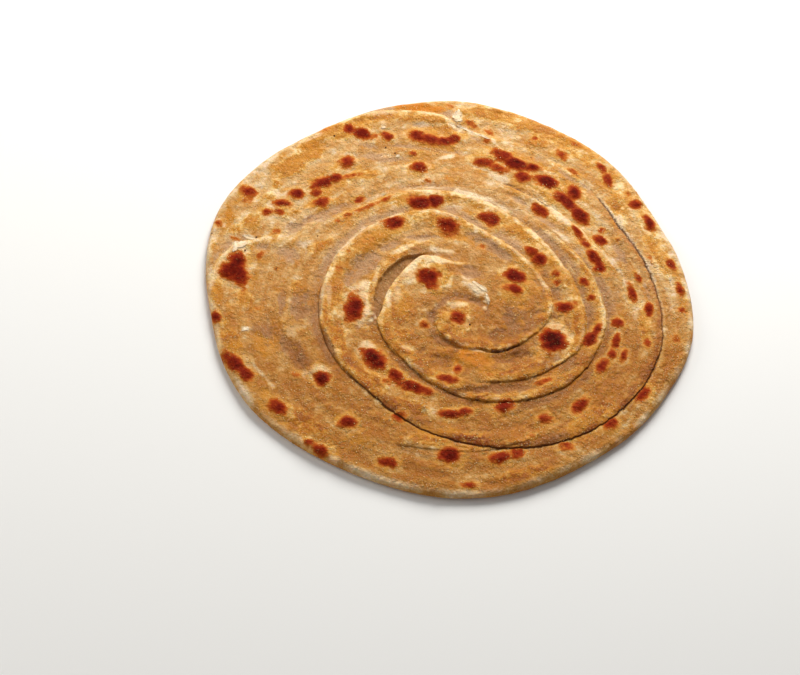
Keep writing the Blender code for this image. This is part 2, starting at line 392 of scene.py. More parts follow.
def lip_lines(angles):
    """Each turn of each lip along the spokes: radius, step, crack, slope and length along it."""
    lines = []
    for number, lip in enumerate(LIPS):
        for turn in range(math.floor(lip[0][0] / 360), math.floor(lip[-1][0] / 360) + 1):
            angle = angles + 360.0 * turn
            on_lip = (angle >= lip[0][0]) & (angle <= lip[-1][0])
            if not on_lip.any():
                continue
            radius = along(lip, angle, 1)
            run = radius * np.radians(angle)
            ahead = along(lip, angle + 0.5, 1)
            slope = np.arctan2(ahead - radius, radius * math.radians(0.5))
            step = np.where(on_lip, along(lip, angle, 2), 0.0)
            crack = np.where(on_lip, along(lip, angle, 3), 0.0)
            ragged = noise(run / 3.3, number + 0.5, 11) + 0.7 * noise(run / 1.4, number + 0.5, 12)
            radius = radius + RAGGED * ragged * np.clip(step, 0, 1)
            crease = band(angle, *FOLDED_EDGE) * (number == 0)
            wide = 0.30 * bell(angle, *OPEN_FOLD) * (number == 0)
            lines.append({"radius": radius, "step": step, "crack": crack, "crease": crease,
                          "wide": wide, "cos": np.cos(slope), "run": run, "number": number})
    return lines


lip_table = lip_lines(spoke_angles)
print(len(lip_table), "turns of lip cross the spokes")


# %% The open gap and the rim
def gap_width(angles):
    """How far the crescent gap stands open outside the inner lip."""
    t = np.clip((angles - GAP_START) / (GAP_END - GAP_START), 0.0, 1.0)
    return GAP_WIDTH * np.sin(math.pi * t) ** 0.8


def spoke_ends(angles):
    """Distance from the eye to the outline along each spoke."""
    cos, sin = np.cos(np.radians(angles)), np.sin(np.radians(angles))
    length = np.full(angles.shape, RADIUS)
    for _ in range(12):
        x, y = EYE[0] + length * cos, EYE[1] + length * sin
        length = length + outline_radius(np.degrees(np.arctan2(y, x))) - np.hypot(x, y)
    round_edge = np.radians(angles) * RADIUS
    nibbled = 0.18 + 0.12 * noise(round_edge / 6.0, 0.5, 21)
    return length - nibbled - 0.08 * noise(round_edge / 2.0, 0.5, 22)


ends = spoke_ends(spoke_angles)
print("spokes are", round(float(ends.min()), 1), "to", round(float(ends.max()), 1), "mm long")

# %% Crowded rings
LIP_CROWDING = 5.0
GAP_CROWDING = 3.0
CROWD_WIDTH = 0.6
RIM_CROWDING = 3.0
RIM_CROWD_WIDTH = 1.6
CROWD_STEPS = 1600


def crowded_rings(lines, ends):
    """Ring radii along each spoke, closest together where the relief is sharpest."""
    fine = np.linspace(0.0, 1.0, CROWD_STEPS)[:, None] * ends[None, :]
    density = np.ones_like(fine)
    for line in lines:
        near = np.exp(-((fine - line["radius"]) / CROWD_WIDTH) ** 2)
        density += LIP_CROWDING * np.clip(line["step"], 0, 1) * near
    wall = along(INNER_LIP, spoke_angles, 1) + gap_width(spoke_angles)
    wall_share = GAP_CROWDING * smoothstep(gap_width(spoke_angles), 0.2, 1.5)
    density += wall_share * np.exp(-((fine - wall) / CROWD_WIDTH) ** 2)
    density += RIM_CROWDING * np.exp(-((fine - ends) / RIM_CROWD_WIDTH) ** 2)
    share = np.cumsum(density, axis=0)
    share = (share - share[0]) / (share[-1] - share[0])
    wanted = np.linspace(0.0, 1.0, TOP_RINGS + 1)
    return np.stack([np.interp(wanted, share[:, j], fine[:, j]) for j in range(SPOKES)], axis=1)


top_radius = crowded_rings(lip_table, ends)
apart = np.diff(top_radius, axis=0)
print("rings are", round(float(apart.min()), 2), "to", round(float(apart.max()), 2), "mm apart")

# %% [markdown]
# ## The relief of one lip
# Seen in section, the dough swells for some millimetres towards a lip, ends in a
# rounded bead that leans out over its own foot, drops, and starts low again.
# The lean is what makes a real crack: no bump map can hide what lies under an
# edge. Fine wrinkles run along the lips, as the pleats inside the dough do.

# %% Lip, fold and wrinkles
# heights and shifts in mm, and places s in mm outside the lip (minus is inside it)
STEP_SHARE = 0.55
ROUNDING = 0.46
FALL_END = 0.42
GROOVE_DEPTH, GROOVE_WIDTH = 0.26, 0.24
FOLD_OUT = 0.10
FOLD_IN = 0.08
FOLD_WIDTH = 0.26
BEAD, BEAD_PLACE, BEAD_WIDTH = 0.16, -1.3, 0.9
WRINKLE = 0.11


def lip_section(s, line):
    """Height and outward shift of the dough at a distance s outside a lip."""
    step = line["step"]
    rise = RISE_SHARE * smoothstep(s, -LIP_LENGTH, -0.8) + BEAD * bell(s, BEAD_PLACE, BEAD_WIDTH)
    rounded = ROUNDING * np.clip((s + 1.5) / 1.6, 0.0, 1.2) ** 2
    recover = np.clip((s - 0.5) / LOW_LENGTH, 0.0, 1.0)
    low = -(1.0 - RISE_SHARE) * (1.0 - recover) ** 2
    sharp = np.clip(1.4 * line["crack"], 0.0, 1.0)
    fall = smoothstep(s, -0.25 * (1 - sharp), FALL_END + 0.75 * (1 - sharp))
    height = STEP_SHARE * step * ((rise - rounded) * (1 - fall) + low * fall)
    groove = line["crack"] * bell(s, FALL_END + line["wide"], GROOVE_WIDTH + line["wide"])
    height = height - GROOVE_DEPTH * (1 + line["wide"]) * groove
    lean = step * (0.25 + 0.75 * sharp)
    shift = lean * (FOLD_OUT * bell(s, 0.02, FOLD_WIDTH) - FOLD_IN * bell(s, 0.5, FOLD_WIDTH))
    inner = band(s, -7.0, -2.5, -1.4, -0.6)
    outer = band(s, 0.7, 1.6, 3.0, 6.5)
    bent = s + 0.5 * noise(line["run"] / 9.0, line["number"] + 0.5, 31)
    pleats = noise(bent / 1.25, line["run"] / 15.0, 32 + line["number"])
    creases = noise(bent / 0.85, line["run"] / 22.0, 52 + line["number"])
    wrinkles = WRINKLE * np.clip(step, 0, 1) * (inner * pleats + 1.2 * outer * creases)
    return height + wrinkles, shift


print("a lip leans out", FOLD_OUT + FOLD_IN, "mm over its foot")


# %% What a lip does to the colour
def lip_marks(s, line):
    """Pale edge, golden rise, dull foot partly darkened as painted shade, the crack's painted shade, and
    in a fold painted shade inside and a painted highlight outside.
    """
    strength = np.clip(1.3 * line["step"], 0, 1)
    patchy = 0.55 + 0.6 * noise(line["run"] / 7.0, line["number"] + 0.5, 41)
    edge = 0.9 * strength * np.clip(patchy, 0, 1) * bell(s, -0.7, 0.95) * (1 - line["crease"])
    # painted highlight: a pale line just outside the fold
    edge = edge + 0.7 * line["crease"] * bell(s, 1.0, 0.6)
    # painted shade: a brown gradient inside the fold
    shade = 0.8 * line["crease"] * bell(s, -0.2, 0.9 + 0.9 * (s < -0.2))
    gold = strength * band(s, -6.5, -1.2, -0.2, 0.25)
    # the dull foot: steamed dough that missed the pan, darkened further as painted shade
    dull = strength * band(s, 0.2, 0.8, 1.0, 6.5)
    # the crack's darkness is painted shade, broken along its length
    broken = 0.45 + 1.0 * noise(line["run"] / 2.6, line["number"] + 0.5, 42)
    broken = np.maximum(broken, 1.1 * line["crease"])
    crack_width = GROOVE_WIDTH + 0.10 * line["crease"] + line["wide"]
    crack = np.clip(line["crack"] * broken, 0, 1) * bell(s, 0.30 + line["wide"], crack_width)
    return edge, gold * (1 - line["crease"]), dull * (1 - line["crease"]), crack, shade


print("a lip leaves", len(lip_marks(0.0, lip_table[0])), "marks")

# %% [markdown]
# ## Blisters and toasted spots
# Where the dough puffs up it touches the hot pan, and the top of the blister
# browns: orange first, then red-brown, then nearly black. Each spot below is an
# ellipse with a place, two sizes, a tilt and a darkness. The same list raises
# the blister and colours it. The lower part of the bread, which is seldom
# shown, carries spots of the same sizes.

# %% Spots on the top
SPOTS = [
    # x, y, long, wide in mm, tilt in degrees, darkness
    # the heart and the first turn
    (4, -13.5, 5, 5, 0, 0.85), (-6.8, 2, 7.6, 7.2, 60, 1.0), (-5.8, -1.5, 4.5, 4.5, 0, 0.8),
    (21.5, 5.6, 7.8, 6.2, -10, 1.08), (21.4, 0.6, 6.8, 5.2, -20, 0.88), (-6.8, -17.5, 3.6, 3.6, 0, 0.55),
    (-20, 22.5, 8.4, 5.4, 20, 0.95), (-2, 24, 7.8, 6.2, 0, 0.95), (-2, 21, 7, 4, 0, 0.4),
    (9.8, 17, 2.6, 2.6, 0, 0.35), (5, -34, 3.2, 3.8, -20, 0.65), (2, -38, 7, 3.2, -10, 0.8),
    (15.5, -34.5, 3, 2, 0, 0.4), (34.8, 8.5, 3.2, 3.4, 0, 0.62), (35.3, 5, 2.8, 3.4, 0, 0.5),
    # the second turn
    (-30, -14, 11, 6.4, 88, 1.05), (-23, -31.5, 5.2, 4.8, 0, 1.0), (-22, -33.2, 8.6, 6.4, -48, 1.1),
    (-20.5, -34.5, 7.4, 5.2, -25, 1.05), (-14.5, -38.5, 6.2, 4.6, -40, 0.85),
    (-8, -42.5, 12, 4.2, -15, 0.88), (-17, -41.5, 3.4, 3, 0, 0.5), (-12, 32.2, 9, 6.4, 0, 1.05),
    (-7.5, 33.4, 6.4, 5.4, 20, 1.05), (9.5, 29.5, 5.2, 3.8, 0, 0.8), (12.8, 28.2, 5, 5.6, -20, 1.0),
    (11.4, 28.8, 8, 4.8, -10, 0.9), (26, 17, 6, 3.6, -30, 0.78), (29, 13.8, 5.4, 5, -60, 0.98),
    (38.5, -4.5, 6.6, 4.8, 0, 0.92), (42, -2.8, 3, 3, 0, 0.4), (35, -18.5, 10.4, 8.6, 70, 1.2),
    (44, 6.8, 4.2, 3.2, -50, 0.75), (46.8, 0.4, 3, 3.2, 0, 0.7), (47, -16.5, 7, 4.4, 66, 1.0),
    (49.2, -12, 7, 3, 70, 0.85), (56, -8.5, 4.2, 4, 0, 0.8), (55.7, -15.5, 6.4, 2.8, 78, 0.8),
    (54.3, -21, 4.4, 3.2, 70, 0.82), (58.3, -21, 5.4, 2.8, 78, 0.7), (51.5, -26, 6.4, 3.4, 65, 0.85),
    # right side
    (65.8, -2, 6, 3, -88, 0.9), (65.7, -15.5, 4.8, 3, 85, 0.65), (60.3, 4.5, 7.4, 2.8, -70, 0.85),
    (62.2, 10.8, 4.4, 2.4, -60, 0.66), (76.2, 8, 5.4, 3.2, -75, 0.85), (77, -0.2, 3, 2.4, 0, 0.6),
    (73, 18, 5.4, 3.2, -60, 0.86), (65.6, 20, 5.4, 2, -65, 0.42), (65.5, 34.8, 6.4, 4.4, -70, 0.96),
    (60.5, 42.3, 4.2, 4, 0, 0.95), (58, 46.5, 3, 2.4, -40, 0.4), (48.4, 57, 4.8, 2.8, -50, 0.78),
    (50.7, 51.6, 6.8, 3, -72, 0.86), (74.8, -12.5, 4, 4, 0, 0.38), (54.7, 25.5, 3, 2, 70, 0.32),
    (49.4, 29.4, 3.4, 2.6, 80, 0.66), (49, 25, 5.4, 3.6, -35, 0.9), (41.2, 27, 7.6, 3.2, -58, 0.86),
    (44.3, 22, 4, 3, -60, 0.8), (47.2, 17, 9.4, 3.8, -60, 0.96), (49.2, 12.6, 4.2, 3.8, 0, 0.96),
    (28.5, 35, 7, 4.4, -30, 0.86), (39.6, 44, 6.4, 5, 110, 1.1), (34.5, 41.8, 5.4, 5, 0, 0.74),
    (38, 39, 6.6, 4.2, -35, 0.95), (36.4, 40.4, 9, 4.8, -45, 0.92), (41.6, 35, 9.4, 5.2, -50, 1.0),
    # the top
    (30, 48, 7.4, 5.4, -15, 1.1), (22, 48.5, 5.4, 5.2, 0, 0.9), (14, 57.4, 8.4, 5, -30, 0.9),
    (19.2, 54, 8.6, 5, -18, 1.12), (25.2, 53.2, 5.4, 3.8, -5, 0.98), (8, 53.4, 7.4, 4, 0, 0.86),
    (12.2, 51.6, 8, 4, -20, 0.76), (24.7, 66.6, 2.6, 2.4, 0, 0.58), (39, 66, 5, 3, -10, 0.3),
    (34.6, 60.4, 5, 3.6, -50, 0.6), (24.2, 57.4, 1.8, 2, 0, 0.32), (39, 53.4, 5.4, 2.6, -38, 0.56),
    (2.4, 70.6, 5.2, 2.8, -30, 0.62), (9, 67.6, 4.4, 3, -45, 0.46), (8.5, 63.4, 3, 2.8, 0, 0.52),
    (-16, 62.6, 5.8, 5.2, 0, 0.96), (-10, 61, 6.4, 4.4, 0, 0.9), (-3.4, 62.2, 6.4, 4, 20, 0.92),
    (-12.6, 61.4, 7, 4, 0, 0.86), (-6.4, 61, 7, 4.4, 8, 0.88), (-16.3, 54, 3.2, 2.4, 0, 0.6),
    (-14, 48, 6.8, 4.6, 15, 0.88), (-10.5, 42.5, 3, 2.8, 0, 0.46), (-4, 44, 2.6, 1.6, 0, 0.28),
    (-5.3, 78, 4.4, 2.6, -15, 0.4), (-10, 78.6, 2.2, 1.6, 0, 0.34), (3, 78.6, 1.6, 1.8, 0, 0.3),
    (17.6, 77, 1.8, 1.4, 0, 0.3),
    # upper left
    (-39.2, 62.2, 4.6, 4.2, 0, 0.98), (-34.4, 60.4, 8, 4.6, -8, 1.04), (-27, 61.2, 2.6, 2.8, 0, 0.8),
    (-25.4, 60.3, 4.4, 3.6, 0, 0.9), (-47, 61, 3, 2.8, 0, 0.42), (-38.3, 47, 5.8, 5.6, 0, 0.84),
    (-45.6, 37, 9.4, 4.6, 38, 0.98), (-41.6, 39.6, 6, 4, 20, 0.9), (-36, 41.6, 8, 2, 12, 0.5),
    (-47.4, 32.4, 4.6, 3.4, 30, 0.7), (-53.6, 31, 5.2, 4.6, 0, 0.98), (-45.3, 28.5, 6.4, 4.2, 25, 0.9),
    (-58.4, 26.2, 5.8, 3, 0, 0.82), (-63, 22, 3.4, 3.2, 0, 0.76), (-58.7, 22.2, 3.8, 2.8, 0, 0.66),
    (-33, 31.3, 5, 2.4, 35, 0.66), (-29.5, 28.8, 13, 2.2, 35, 0.56), (-36, 24, 3.4, 2.8, 30, 0.55),
    (-24, 32.6, 5, 2.4, 35, 0.66), (-39.2, 21, 3, 2.2, 0, 0.34), (-70, 30, 5.4, 5, 0, 0.86),
    (-70, 26.6, 4.6, 4, 0, 0.4), (-78.4, 15.5, 3, 3.2, 90, 0.5), (-59, 14, 3.8, 2.8, 60, 0.5),
    (-72, 9.6, 5, 1.6, -18, 0.46), (-34, 8.5, 3, 2.8, 0, 0.28), (-28, 14.4, 7, 3, 40, 0.26),
    # left side
    (-70.2, 0, 7.4, 6.6, 90, 1.0), (-72, -4, 7.6, 7.4, 0, 1.0), (-68.6, -5.4, 6.4, 7, 0, 1.0),
    (-70.4, -3, 8, 8.6, 0, 1.0), (-63, 3.4, 3.8, 2.6, 70, 0.46), (-57, -1, 1.8, 1.4, 0, 0.45),
    (-66.4, -11.4, 4.2, 2.2, 80, 0.42), (-61, -17.5, 2.8, 2.2, 0, 0.3), (-69.6, -18.6, 3.4, 2, 0, 0.26),
    (-74, -22.6, 5.8, 3.2, -55, 0.88), (-65, -40.6, 13, 4.6, -46, 1.0), (-61.6, -44, 6, 5, -50, 0.95),
    (-37.6, -42.6, 5.4, 5.2, 0, 1.05), (-34.4, -27, 2.4, 3.4, 0, 0.36), (-36.5, 1.4, 3, 2.6, 0, 0.36),
    (33, -35, 7, 2.8, 28, 0.6),
    # the near edge, which is seldom seen
    (-50, -55, 8, 5, -40, 0.85), (-28, -58, 6, 5, 0, 0.9), (-12, -54, 5, 4, 0, 0.6),
    (4, -51, 8, 4, 8, 0.9), (8.5, -49.6, 5, 3.4, 20, 0.8), (21, -46, 7, 5, 20, 0.85),
    (34, -49, 5, 4, 0, 0.7), (45, -42, 8, 4, 50, 0.85), (-35, -69, 7, 4, -25, 0.8),
    (-39, -66.6, 4, 3, 0, 0.7), (-14, -71, 6, 4, -8, 0.85), (5, -66, 8, 6, 20, 0.95),
    (21, -64.8, 7, 4, 18, 0.85), (26, -63, 5, 4, 30, 0.8), (41, -58, 5, 4, 0, 0.6),
    (55, -48, 6, 4, 50, 0.8), (65, -35, 7, 4, 62, 0.8), (12, -76, 6, 2.6, 8, 0.6),
    (-46, -42, 3, 2.4, 0, 0.4), (-3, -61, 3, 2.4, 0, 0.4), (30, -56, 3, 2, 0, 0.4),
]
print(len(SPOTS), "toasted spots on the top")

# %% [markdown]
# ## Broad patches and fine cracks
# Between the spots the crust isn't one colour. Some of it fried orange, some
# puffed up and went yellow, some sank and only steamed, and some is thin, dry and
# nearly white. The sunk places also carry painted shade in troughs, and two of the
# orange patches are a painted shadow. These places are ellipses too, with a
# strength at the end. The fine cracks are short lines through a few points, and
# their darkness is painted shade.

# %% Patches fried orange, and orange painted shadows
TOASTED_AND_SHADOWED = [
    # x, y, long, wide in mm, tilt in degrees, strength
    # (-16, 75.3) is a painted shadow: the orange shade outside the top lip, under the far rim band
    (9.5, -29, 14, 7, -8, 1.1), (14, -33.6, 8, 3.4, -30, 0.6), (-16, 75.3, 28, 4.6, 2, 1.5),
    (-6, 77.4, 10, 3.4, -5, 0.5), (39.5, 66, 8, 4, -15, 0.75), (42.5, 62.6, 6, 3, -45, 0.4),
    (-51, 53, 8, 4, 30, 0.75), (-47.5, 61, 6, 3.4, 30, 0.45), (-62.5, 40, 8, 5, 60, 0.4),
    (-55, 46, 14, 5, 50, 0.35), (-75, 18, 13, 3.6, -78, 0.55), (-78.6, 6, 3, 12, 0, 0.25),
    (-27.5, 13.6, 10, 5, 42, 0.55), (-15, -12, 9, 7, 70, 0.35), (22.6, 24.6, 10, 3, -28, 0.6),
    (3, 31.5, 8, 2.4, -12, 0.4), (29, -31.5, 10, 2.6, 22, 0.4), (23, -3, 6, 6, 0, 0.35),
    # (-10, 58.4) is painted shade below the row of spots at the top
    (2, 19.8, 15, 3.6, -8, 0.45), (-57, -33, 15, 9, -50, 0.45), (-10, 58.4, 18, 2, 0, 0.3),
    (58, 46.4, 5, 3, -40, 0.4), (49, 54.6, 4, 10, 30, 0.3), (-76, -14, 4, 6, 10, 0.4),
    (-66, -33, 8, 5, -40, 0.35), (-63.4, -28.6, 2.4, 2, 0, 0.5), (-34.6, -27, 3, 5, 0, 0.35),
    (-58, -49, 12, 4, -45, 0.4), (0, -58, 22, 6, 5, 0.35), (46, -50, 16, 6, 45, 0.4),
    (-24, -64, 16, 5, -15, 0.35),
]
print(len(TOASTED_AND_SHADOWED), "patches fried orange")

# %% Skin that puffed up and went yellow
BLISTERED = [
    (-12, 14.4, 17, 4.6, 16, 1.0), (-15, -12, 8, 15, 0, 1.0), (-13, -21.6, 6, 5, 0, 0.8),
    (-11, -31, 13, 5.4, -40, 1.0), (9.5, -29, 16, 8.6, -8, 1.1), (27, -31, 18, 4, 22, 0.9),
    (4, -13, 12, 13, 0, 0.9), (-5, 3, 14, 14, 0, 0.9), (3, 20, 14, 6, 0, 0.8), (-20, 20, 20, 6, 30, 1.0),
    (22, 24, 16, 5, -30, 1.0), (38, 10, 15, 7, -62, 0.8), (-28, 13, 15, 5.6, 48, 1.0),
    (-36.5, -6, 4.4, 22, 4, 0.8), (-33, -27, 5, 12, 12, 0.8), (-50, -8, 5.6, 7, 0, 0.8),
    (-44, 9, 12, 4.6, 42, 0.9), (-76, -13, 5, 10, 0, 0.9), (-79, 4, 4, 16, 4, 0.8),
    (-69, 16, 13, 8, 40, 0.9), (-56, 23, 10, 5, 30, 0.8), (-56, 45, 26, 11, 52, 1.0),
    (-40, 62, 20, 8, 25, 0.9), (-14, 70.6, 26, 4, 2, 0.8), (20, 73, 34, 6, -14, 1.0),
    (42, 62, 14, 7, -44, 1.0), (54, 38, 16, 7, -58, 0.7), (68, 22, 24, 6, -68, 0.7),
    (22, 3, 12, 13, 0, 0.6), (12, 28, 10, 7, 0, 0.8), (-62, 30, 14, 6, 40, 0.7),
    (40, 18, 12, 4, -45, 0.7), (-68, -32, 12, 8, -50, 0.8), (-66, -14, 10, 8, 0, 0.6),
    (25, 65, 9, 6, 0, 0.8), (34, 60, 8, 7, 0, 0.7), (-32, 42, 14, 5, 10, 0.6), (8, 57, 14, 6, -10, 0.6),
    (-22, -42, 20, 8, -40, 0.7), (65, -8, 5, 18, 0, 0.6), (44, -8, 6, 18, -10, 0.7),
    (-40, -40, 10, 7, -40, 0.8), (31, 41, 10, 5, -40, 0.6), (-40, -60, 20, 7, -35, 0.9),
    (6, -60, 26, 8, 4, 0.9), (48, -48, 24, 8, 48, 0.9), (-8, -50, 22, 5, -12, 0.8),
    (28, -70, 22, 5, 22, 0.8), (66, -34, 14, 6, 62, 0.8),
]
print(len(BLISTERED), "puffed patches")

# %% Low, steamed dough that never touched the pan, and painted shade in troughs
DULL_AND_SHADED = [
    # many are also painted shade in troughs: the arc from (-28, 4) to (28, 6), the band below the top lip
    # near y = 51 to 57, and the streak at (-53.6, -14)
    (24, -12, 17, 15, 10, 1.0), (20, -18, 16, 8, 15, 0.8), (6, 6, 15, 6, -5, 0.9),
    (10, -6, 8, 3, -10, 0.8), (-4.6, -14.5, 11, 3, 80, 1.0), (2, -24, 11, 3, -28, 1.0),
    (0, -30.5, 14, 5, -12, 0.9), (23, -26.6, 17, 4.4, 22, 1.1), (12, 17, 26, 5.6, -28, 1.1),
    (-10, 18.4, 18, 2.8, 10, 1.0), (-32, -1, 12, 4.4, 75, 1.0), (28, 6, 12, 4, -62, 0.7),
    (-28, 4, 22, 7.4, 56, 1.0), (-21, 13, 12, 3.6, 38, 0.8), (-48, -15, 8, 15, 0, 0.9),
    (-53.6, -14, 2.8, 14, 0, 1.1), (-53, 5, 10, 10, 0, 0.8), (-42, 25, 36, 4.4, 33, 1.0),
    (-52, 17, 14, 4, 50, 0.7), (-58, -26, 14, 12, -50, 0.6), (-46, -34, 20, 9, -50, 0.7),
    (-41.6, -13, 2.4, 12, 0, 0.9), (-37, -29, 14, 2.4, -62, 0.9), (-27, 51, 30, 4.4, 2, 0.8),
    (-16, 57, 34, 2.6, 0, 0.8), (-32, 55.6, 14, 3, -6, 0.7), (-16, 67.4, 20, 3, -2, 0.5),
    (-2, 67.6, 9, 3, -28, 0.9), (-8, 56.4, 26, 2.4, -2, 0.5), (-14, 39.6, 26, 3, 10, 0.9),
    (12, 37, 20, 3.4, -25, 0.6), (20, 39, 14, 3, -28, 0.8), (30, 31, 20, 4, -36, 0.7),
    (34, 18, 18, 2.6, -55, 0.8), (56, 20, 20, 4, -62, 0.7), (55, 1, 16, 5, 85, 0.4),
    (65, 6, 22, 2.4, -72, 0.5), (26, 57, 12, 4, -25, 0.6), (38, 50, 14, 3, -40, 0.7),
    (44, 46, 10, 3, -50, 0.6), (40, -12, 4, 10, 20, 0.4), (31, 0, 2.6, 18, 0, 0.5),
    (48, -24, 12, 3, 60, 0.6), (16, -40, 34, 4, 12, 0.9), (-22, -36, 9, 6, -30, 0.5),
    (-28, -20, 5, 8, 0, 0.7), (35, -26, 12, 4, 40, 0.8), (-6, -55, 24, 5, -8, 0.6),
    (34, -58, 22, 6, 35, 0.6), (-52, -58, 14, 6, -45, 0.6), (6, 63, 14, 3, -25, 0.5),
    (73, -2, 4, 16, 0, 0.4), (-62, 7, 8, 6, 0, 0.6),
]
print(len(DULL_AND_SHADED), "steamed patches")

# %% Thin dry skin, nearly white
PALE = [
    (-13.2, 4.6, 13, 3.4, 54, 1.0), (-5, 8.8, 12, 2.8, 0, 0.9), (-19.4, -9, 14, 3.0, 94, 0.9),
    (9.6, -1.4, 8, 3.0, -30, 1.1), (12.6, -4.6, 5, 1.8, -65, 1.0), (12.4, -8.2, 2, 2.4, 0, 0.8),
    (10, -25.8, 13, 1.6, -4, 0.7), (2.6, -9.4, 8, 1.8, 12, 0.6), (35, -11.8, 8, 1.8, 4, 0.7),
    (-25, -30, 5, 1.8, 70, 0.6), (-40, -38.4, 5, 4, 0, 0.6), (-64, -26.4, 4, 2.6, 0, 0.9),
    (-58, -41.6, 12, 2, -46, 0.7), (-70, 7, 4.4, 4.2, 0, 1.2), (-67, 11.2, 4.6, 2.2, -10, 0.7),
    (-2.6, 73.4, 4.2, 5.4, 0, 1.2), (2.6, 67.2, 11, 1.4, -30, 1.0), (9, 64.8, 5, 1.6, -20, 0.7),
    (15, 63.4, 6, 3, 10, 0.6), (19, 66, 4, 3, 0, 0.4), (5, 38.4, 15, 2.6, -7, 1.0),
    (-13, 39.4, 22, 1.8, 8, 0.6), (-25, 35.4, 10, 1.8, 32, 0.6), (16, 34.4, 12, 2.2, -30, 0.6),
    (34, 34.4, 17, 3.2, -42, 0.8), (42, 28.4, 8, 2.4, -50, 0.6), (36, 25, 10, 2.2, -40, 0.7),
    (34, 16.4, 12, 1.8, -58, 0.6), (53, 16, 12, 2.2, -50, 0.6), (58.4, 8.4, 8, 1.6, -62, 0.6),
    (61.4, -4, 10, 1.6, -82, 0.5), (-24.6, 52, 8, 1.8, 8, 0.6), (-21.4, 52, 2, 1.6, 0, 0.9),
    (-27.8, 64.2, 2.4, 2, 0, 0.7), (-5, 54, 7, 2.2, 22, 0.8), (13.6, 47.6, 10, 3.6, -22, 0.7),
    (6.4, 51.2, 9, 1.2, -18, 0.9), (-49.4, -4, 5, 2.2, 20, 0.6), (-47, 11.4, 10, 2.2, 46, 0.5),
    (-39, 15.4, 8, 1.6, 42, 0.5), (-14, 68, 6, 1.8, 0, 0.5), (-41, 32, 8, 2.2, 40, 0.5),
    (-58, 30.4, 7, 2.4, 20, 0.5), (-53, 12, 9, 1.6, 40, 0.4), (55.8, 34, 5, 6, 0, 0.5),
    (45.4, 59, 4, 3, 60, 0.6), (54, 50, 4, 3, 0, 0.5), (60, 37.6, 4, 3, 0, 0.5), (73, 11, 2, 4, 0, 0.5),
    (74.6, -2.4, 6, 1.4, -40, 0.5), (-12, -27.6, 5, 2.4, -10, 0.6), (-38.6, -10, 14, 2.2, 94, 0.5),
    (-38.2, 4, 12, 2.0, 86, 0.5), (-33.6, 14, 18, 2.2, 60, 0.6), (-12, 37.4, 11, 2.2, 0, 0.7),
    (-3, 28.2, 9, 2, -4, 0.7), (-20, 26.4, 10, 2, 28, 0.7), (11, 32.4, 8, 2, -20, 0.6),
    (29, 38.2, 8, 2, -22, 0.6), (-38, 50.8, 7, 2, 0, 0.6), (-23.6, -28.4, 5.4, 2.2, -25, 0.7),
    (30.4, 51.8, 9, 1.8, -10, 0.5), (-30, 70.4, 18, 3, 16, 0.7), (-52, 56.6, 12, 3.4, 42, 0.6),
    (-64, 45, 12, 3, 58, 0.6), (-24.2, 0, 12, 2.2, 82, 0.6), (-16.4, 12.4, 12, 2.6, 34, 0.8),
    (-4, 13.6, 12, 2.4, -3, 0.7), (40, 11, 10, 2.4, -62, 0.5), (-49, -26, 9, 5, -60, 0.5),
    (-12, 1.5, 15, 7.5, 52, 0.6), (-16.5, -8, 15, 5, 96, 0.6), (8.6, -1.2, 11, 6, -36, 0.8),
    (-29.4, -13.2, 19, 11.6, 88, 1.15), (-24.2, -30.6, 12, 9, -45, 0.9), (-38.6, -40.6, 10, 9, 0, 0.9),
    (35, -18, 15, 13, 70, 0.8), (5, -14, 11, 9, 20, 0.5), (-77.4, -9, 9, 2.4, 82, 0.8),
    (3, -8.2, 10, 3, 8, 0.7), (32.6, -14, 4, 3, 60, 0.6), (66, 20, 22, 3, -68, 0.35),
    (74, 2, 20, 3, -84, 0.35), (61, -2, 20, 3.4, -84, 0.35),
]
print(len(PALE), "pale patches")

# %% Fine cracks
CRACK_WIDTH = 0.42
CREASES = [
    # thin cracks and fine lines: how deep and how dark (painted shade), then the points that they run
    # through
    (0.5, (-55, 15.5), (-51, 19.5), (-46, 24)), (0.8, (15.5, 45.5), (20, 43.2), (26, 40.4), (31, 37.2)),
    (0.45, (-3.4, 69.4), (0.5, 67.4), (5, 65.4)), (0.6, (13, -6.2), (13.4, -8), (12.6, -9.8)),
    (1.0, (15.6, -25.4), (18, -24.9), (21, -23.7), (24, -21.8)),
    (0.5, (3.2, 52.2), (7, 50.9), (10.5, 49.4)), (0.5, (-57.4, -21), (-55, -26), (-51.6, -31)),
    (0.45, (-52.5, -25), (-48, -32), (-43, -41), (-41.6, -45)), (0.4, (-59, -16), (-57, -24), (-53, -33)),
    (0.5, (42, -20), (38.2, -25.5), (34.4, -29.4), (27, -34.2)), (0.4, (5, 62.6), (11, 61), (16, 59.4)),
    (0.35, (-46, 50.6), (-38, 51.6), (-28, 52.6)), (0.4, (45, 41.8), (42.6, 44.4), (39, 47.6)),
    (0.6, (-8.6, 10.9), (-5.4, 11.2)), (0.6, (-1.4, 27.7), (1.2, 27.2)),
    (0.35, (53, 29), (57, 20), (58.4, 13)), (0.3, (56, 24), (55, 17)),
    (0.35, (60.8, -2), (62, -9), (62.2, -16)),
]
print(len(CREASES), "fine cracks")

# %% [markdown]
# ## From lists to marks
# All this could be painted on a texture, but that would blur close up. Here it is
# worked out at the mesh's own points instead: how far inside each ellipse a point
# lies, or how near it is to a crack. The outlines are pushed in and out by noise.

# %% Painting patches and cracks
def patch(x, y, place, wobble):
    """0 in the middle of an ellipse and 1 on its edge, with an uneven outline."""
    px, py, long, wide, tilt, _ = place
    turn = math.radians(tilt)
    u = (x - px) * math.cos(turn) + (y - py) * math.sin(turn)
    v = (y - py) * math.cos(turn) - (x - px) * math.sin(turn)
    return np.hypot(u / (0.5 * long), v / (0.5 * wide)) * (1.0 + wobble)


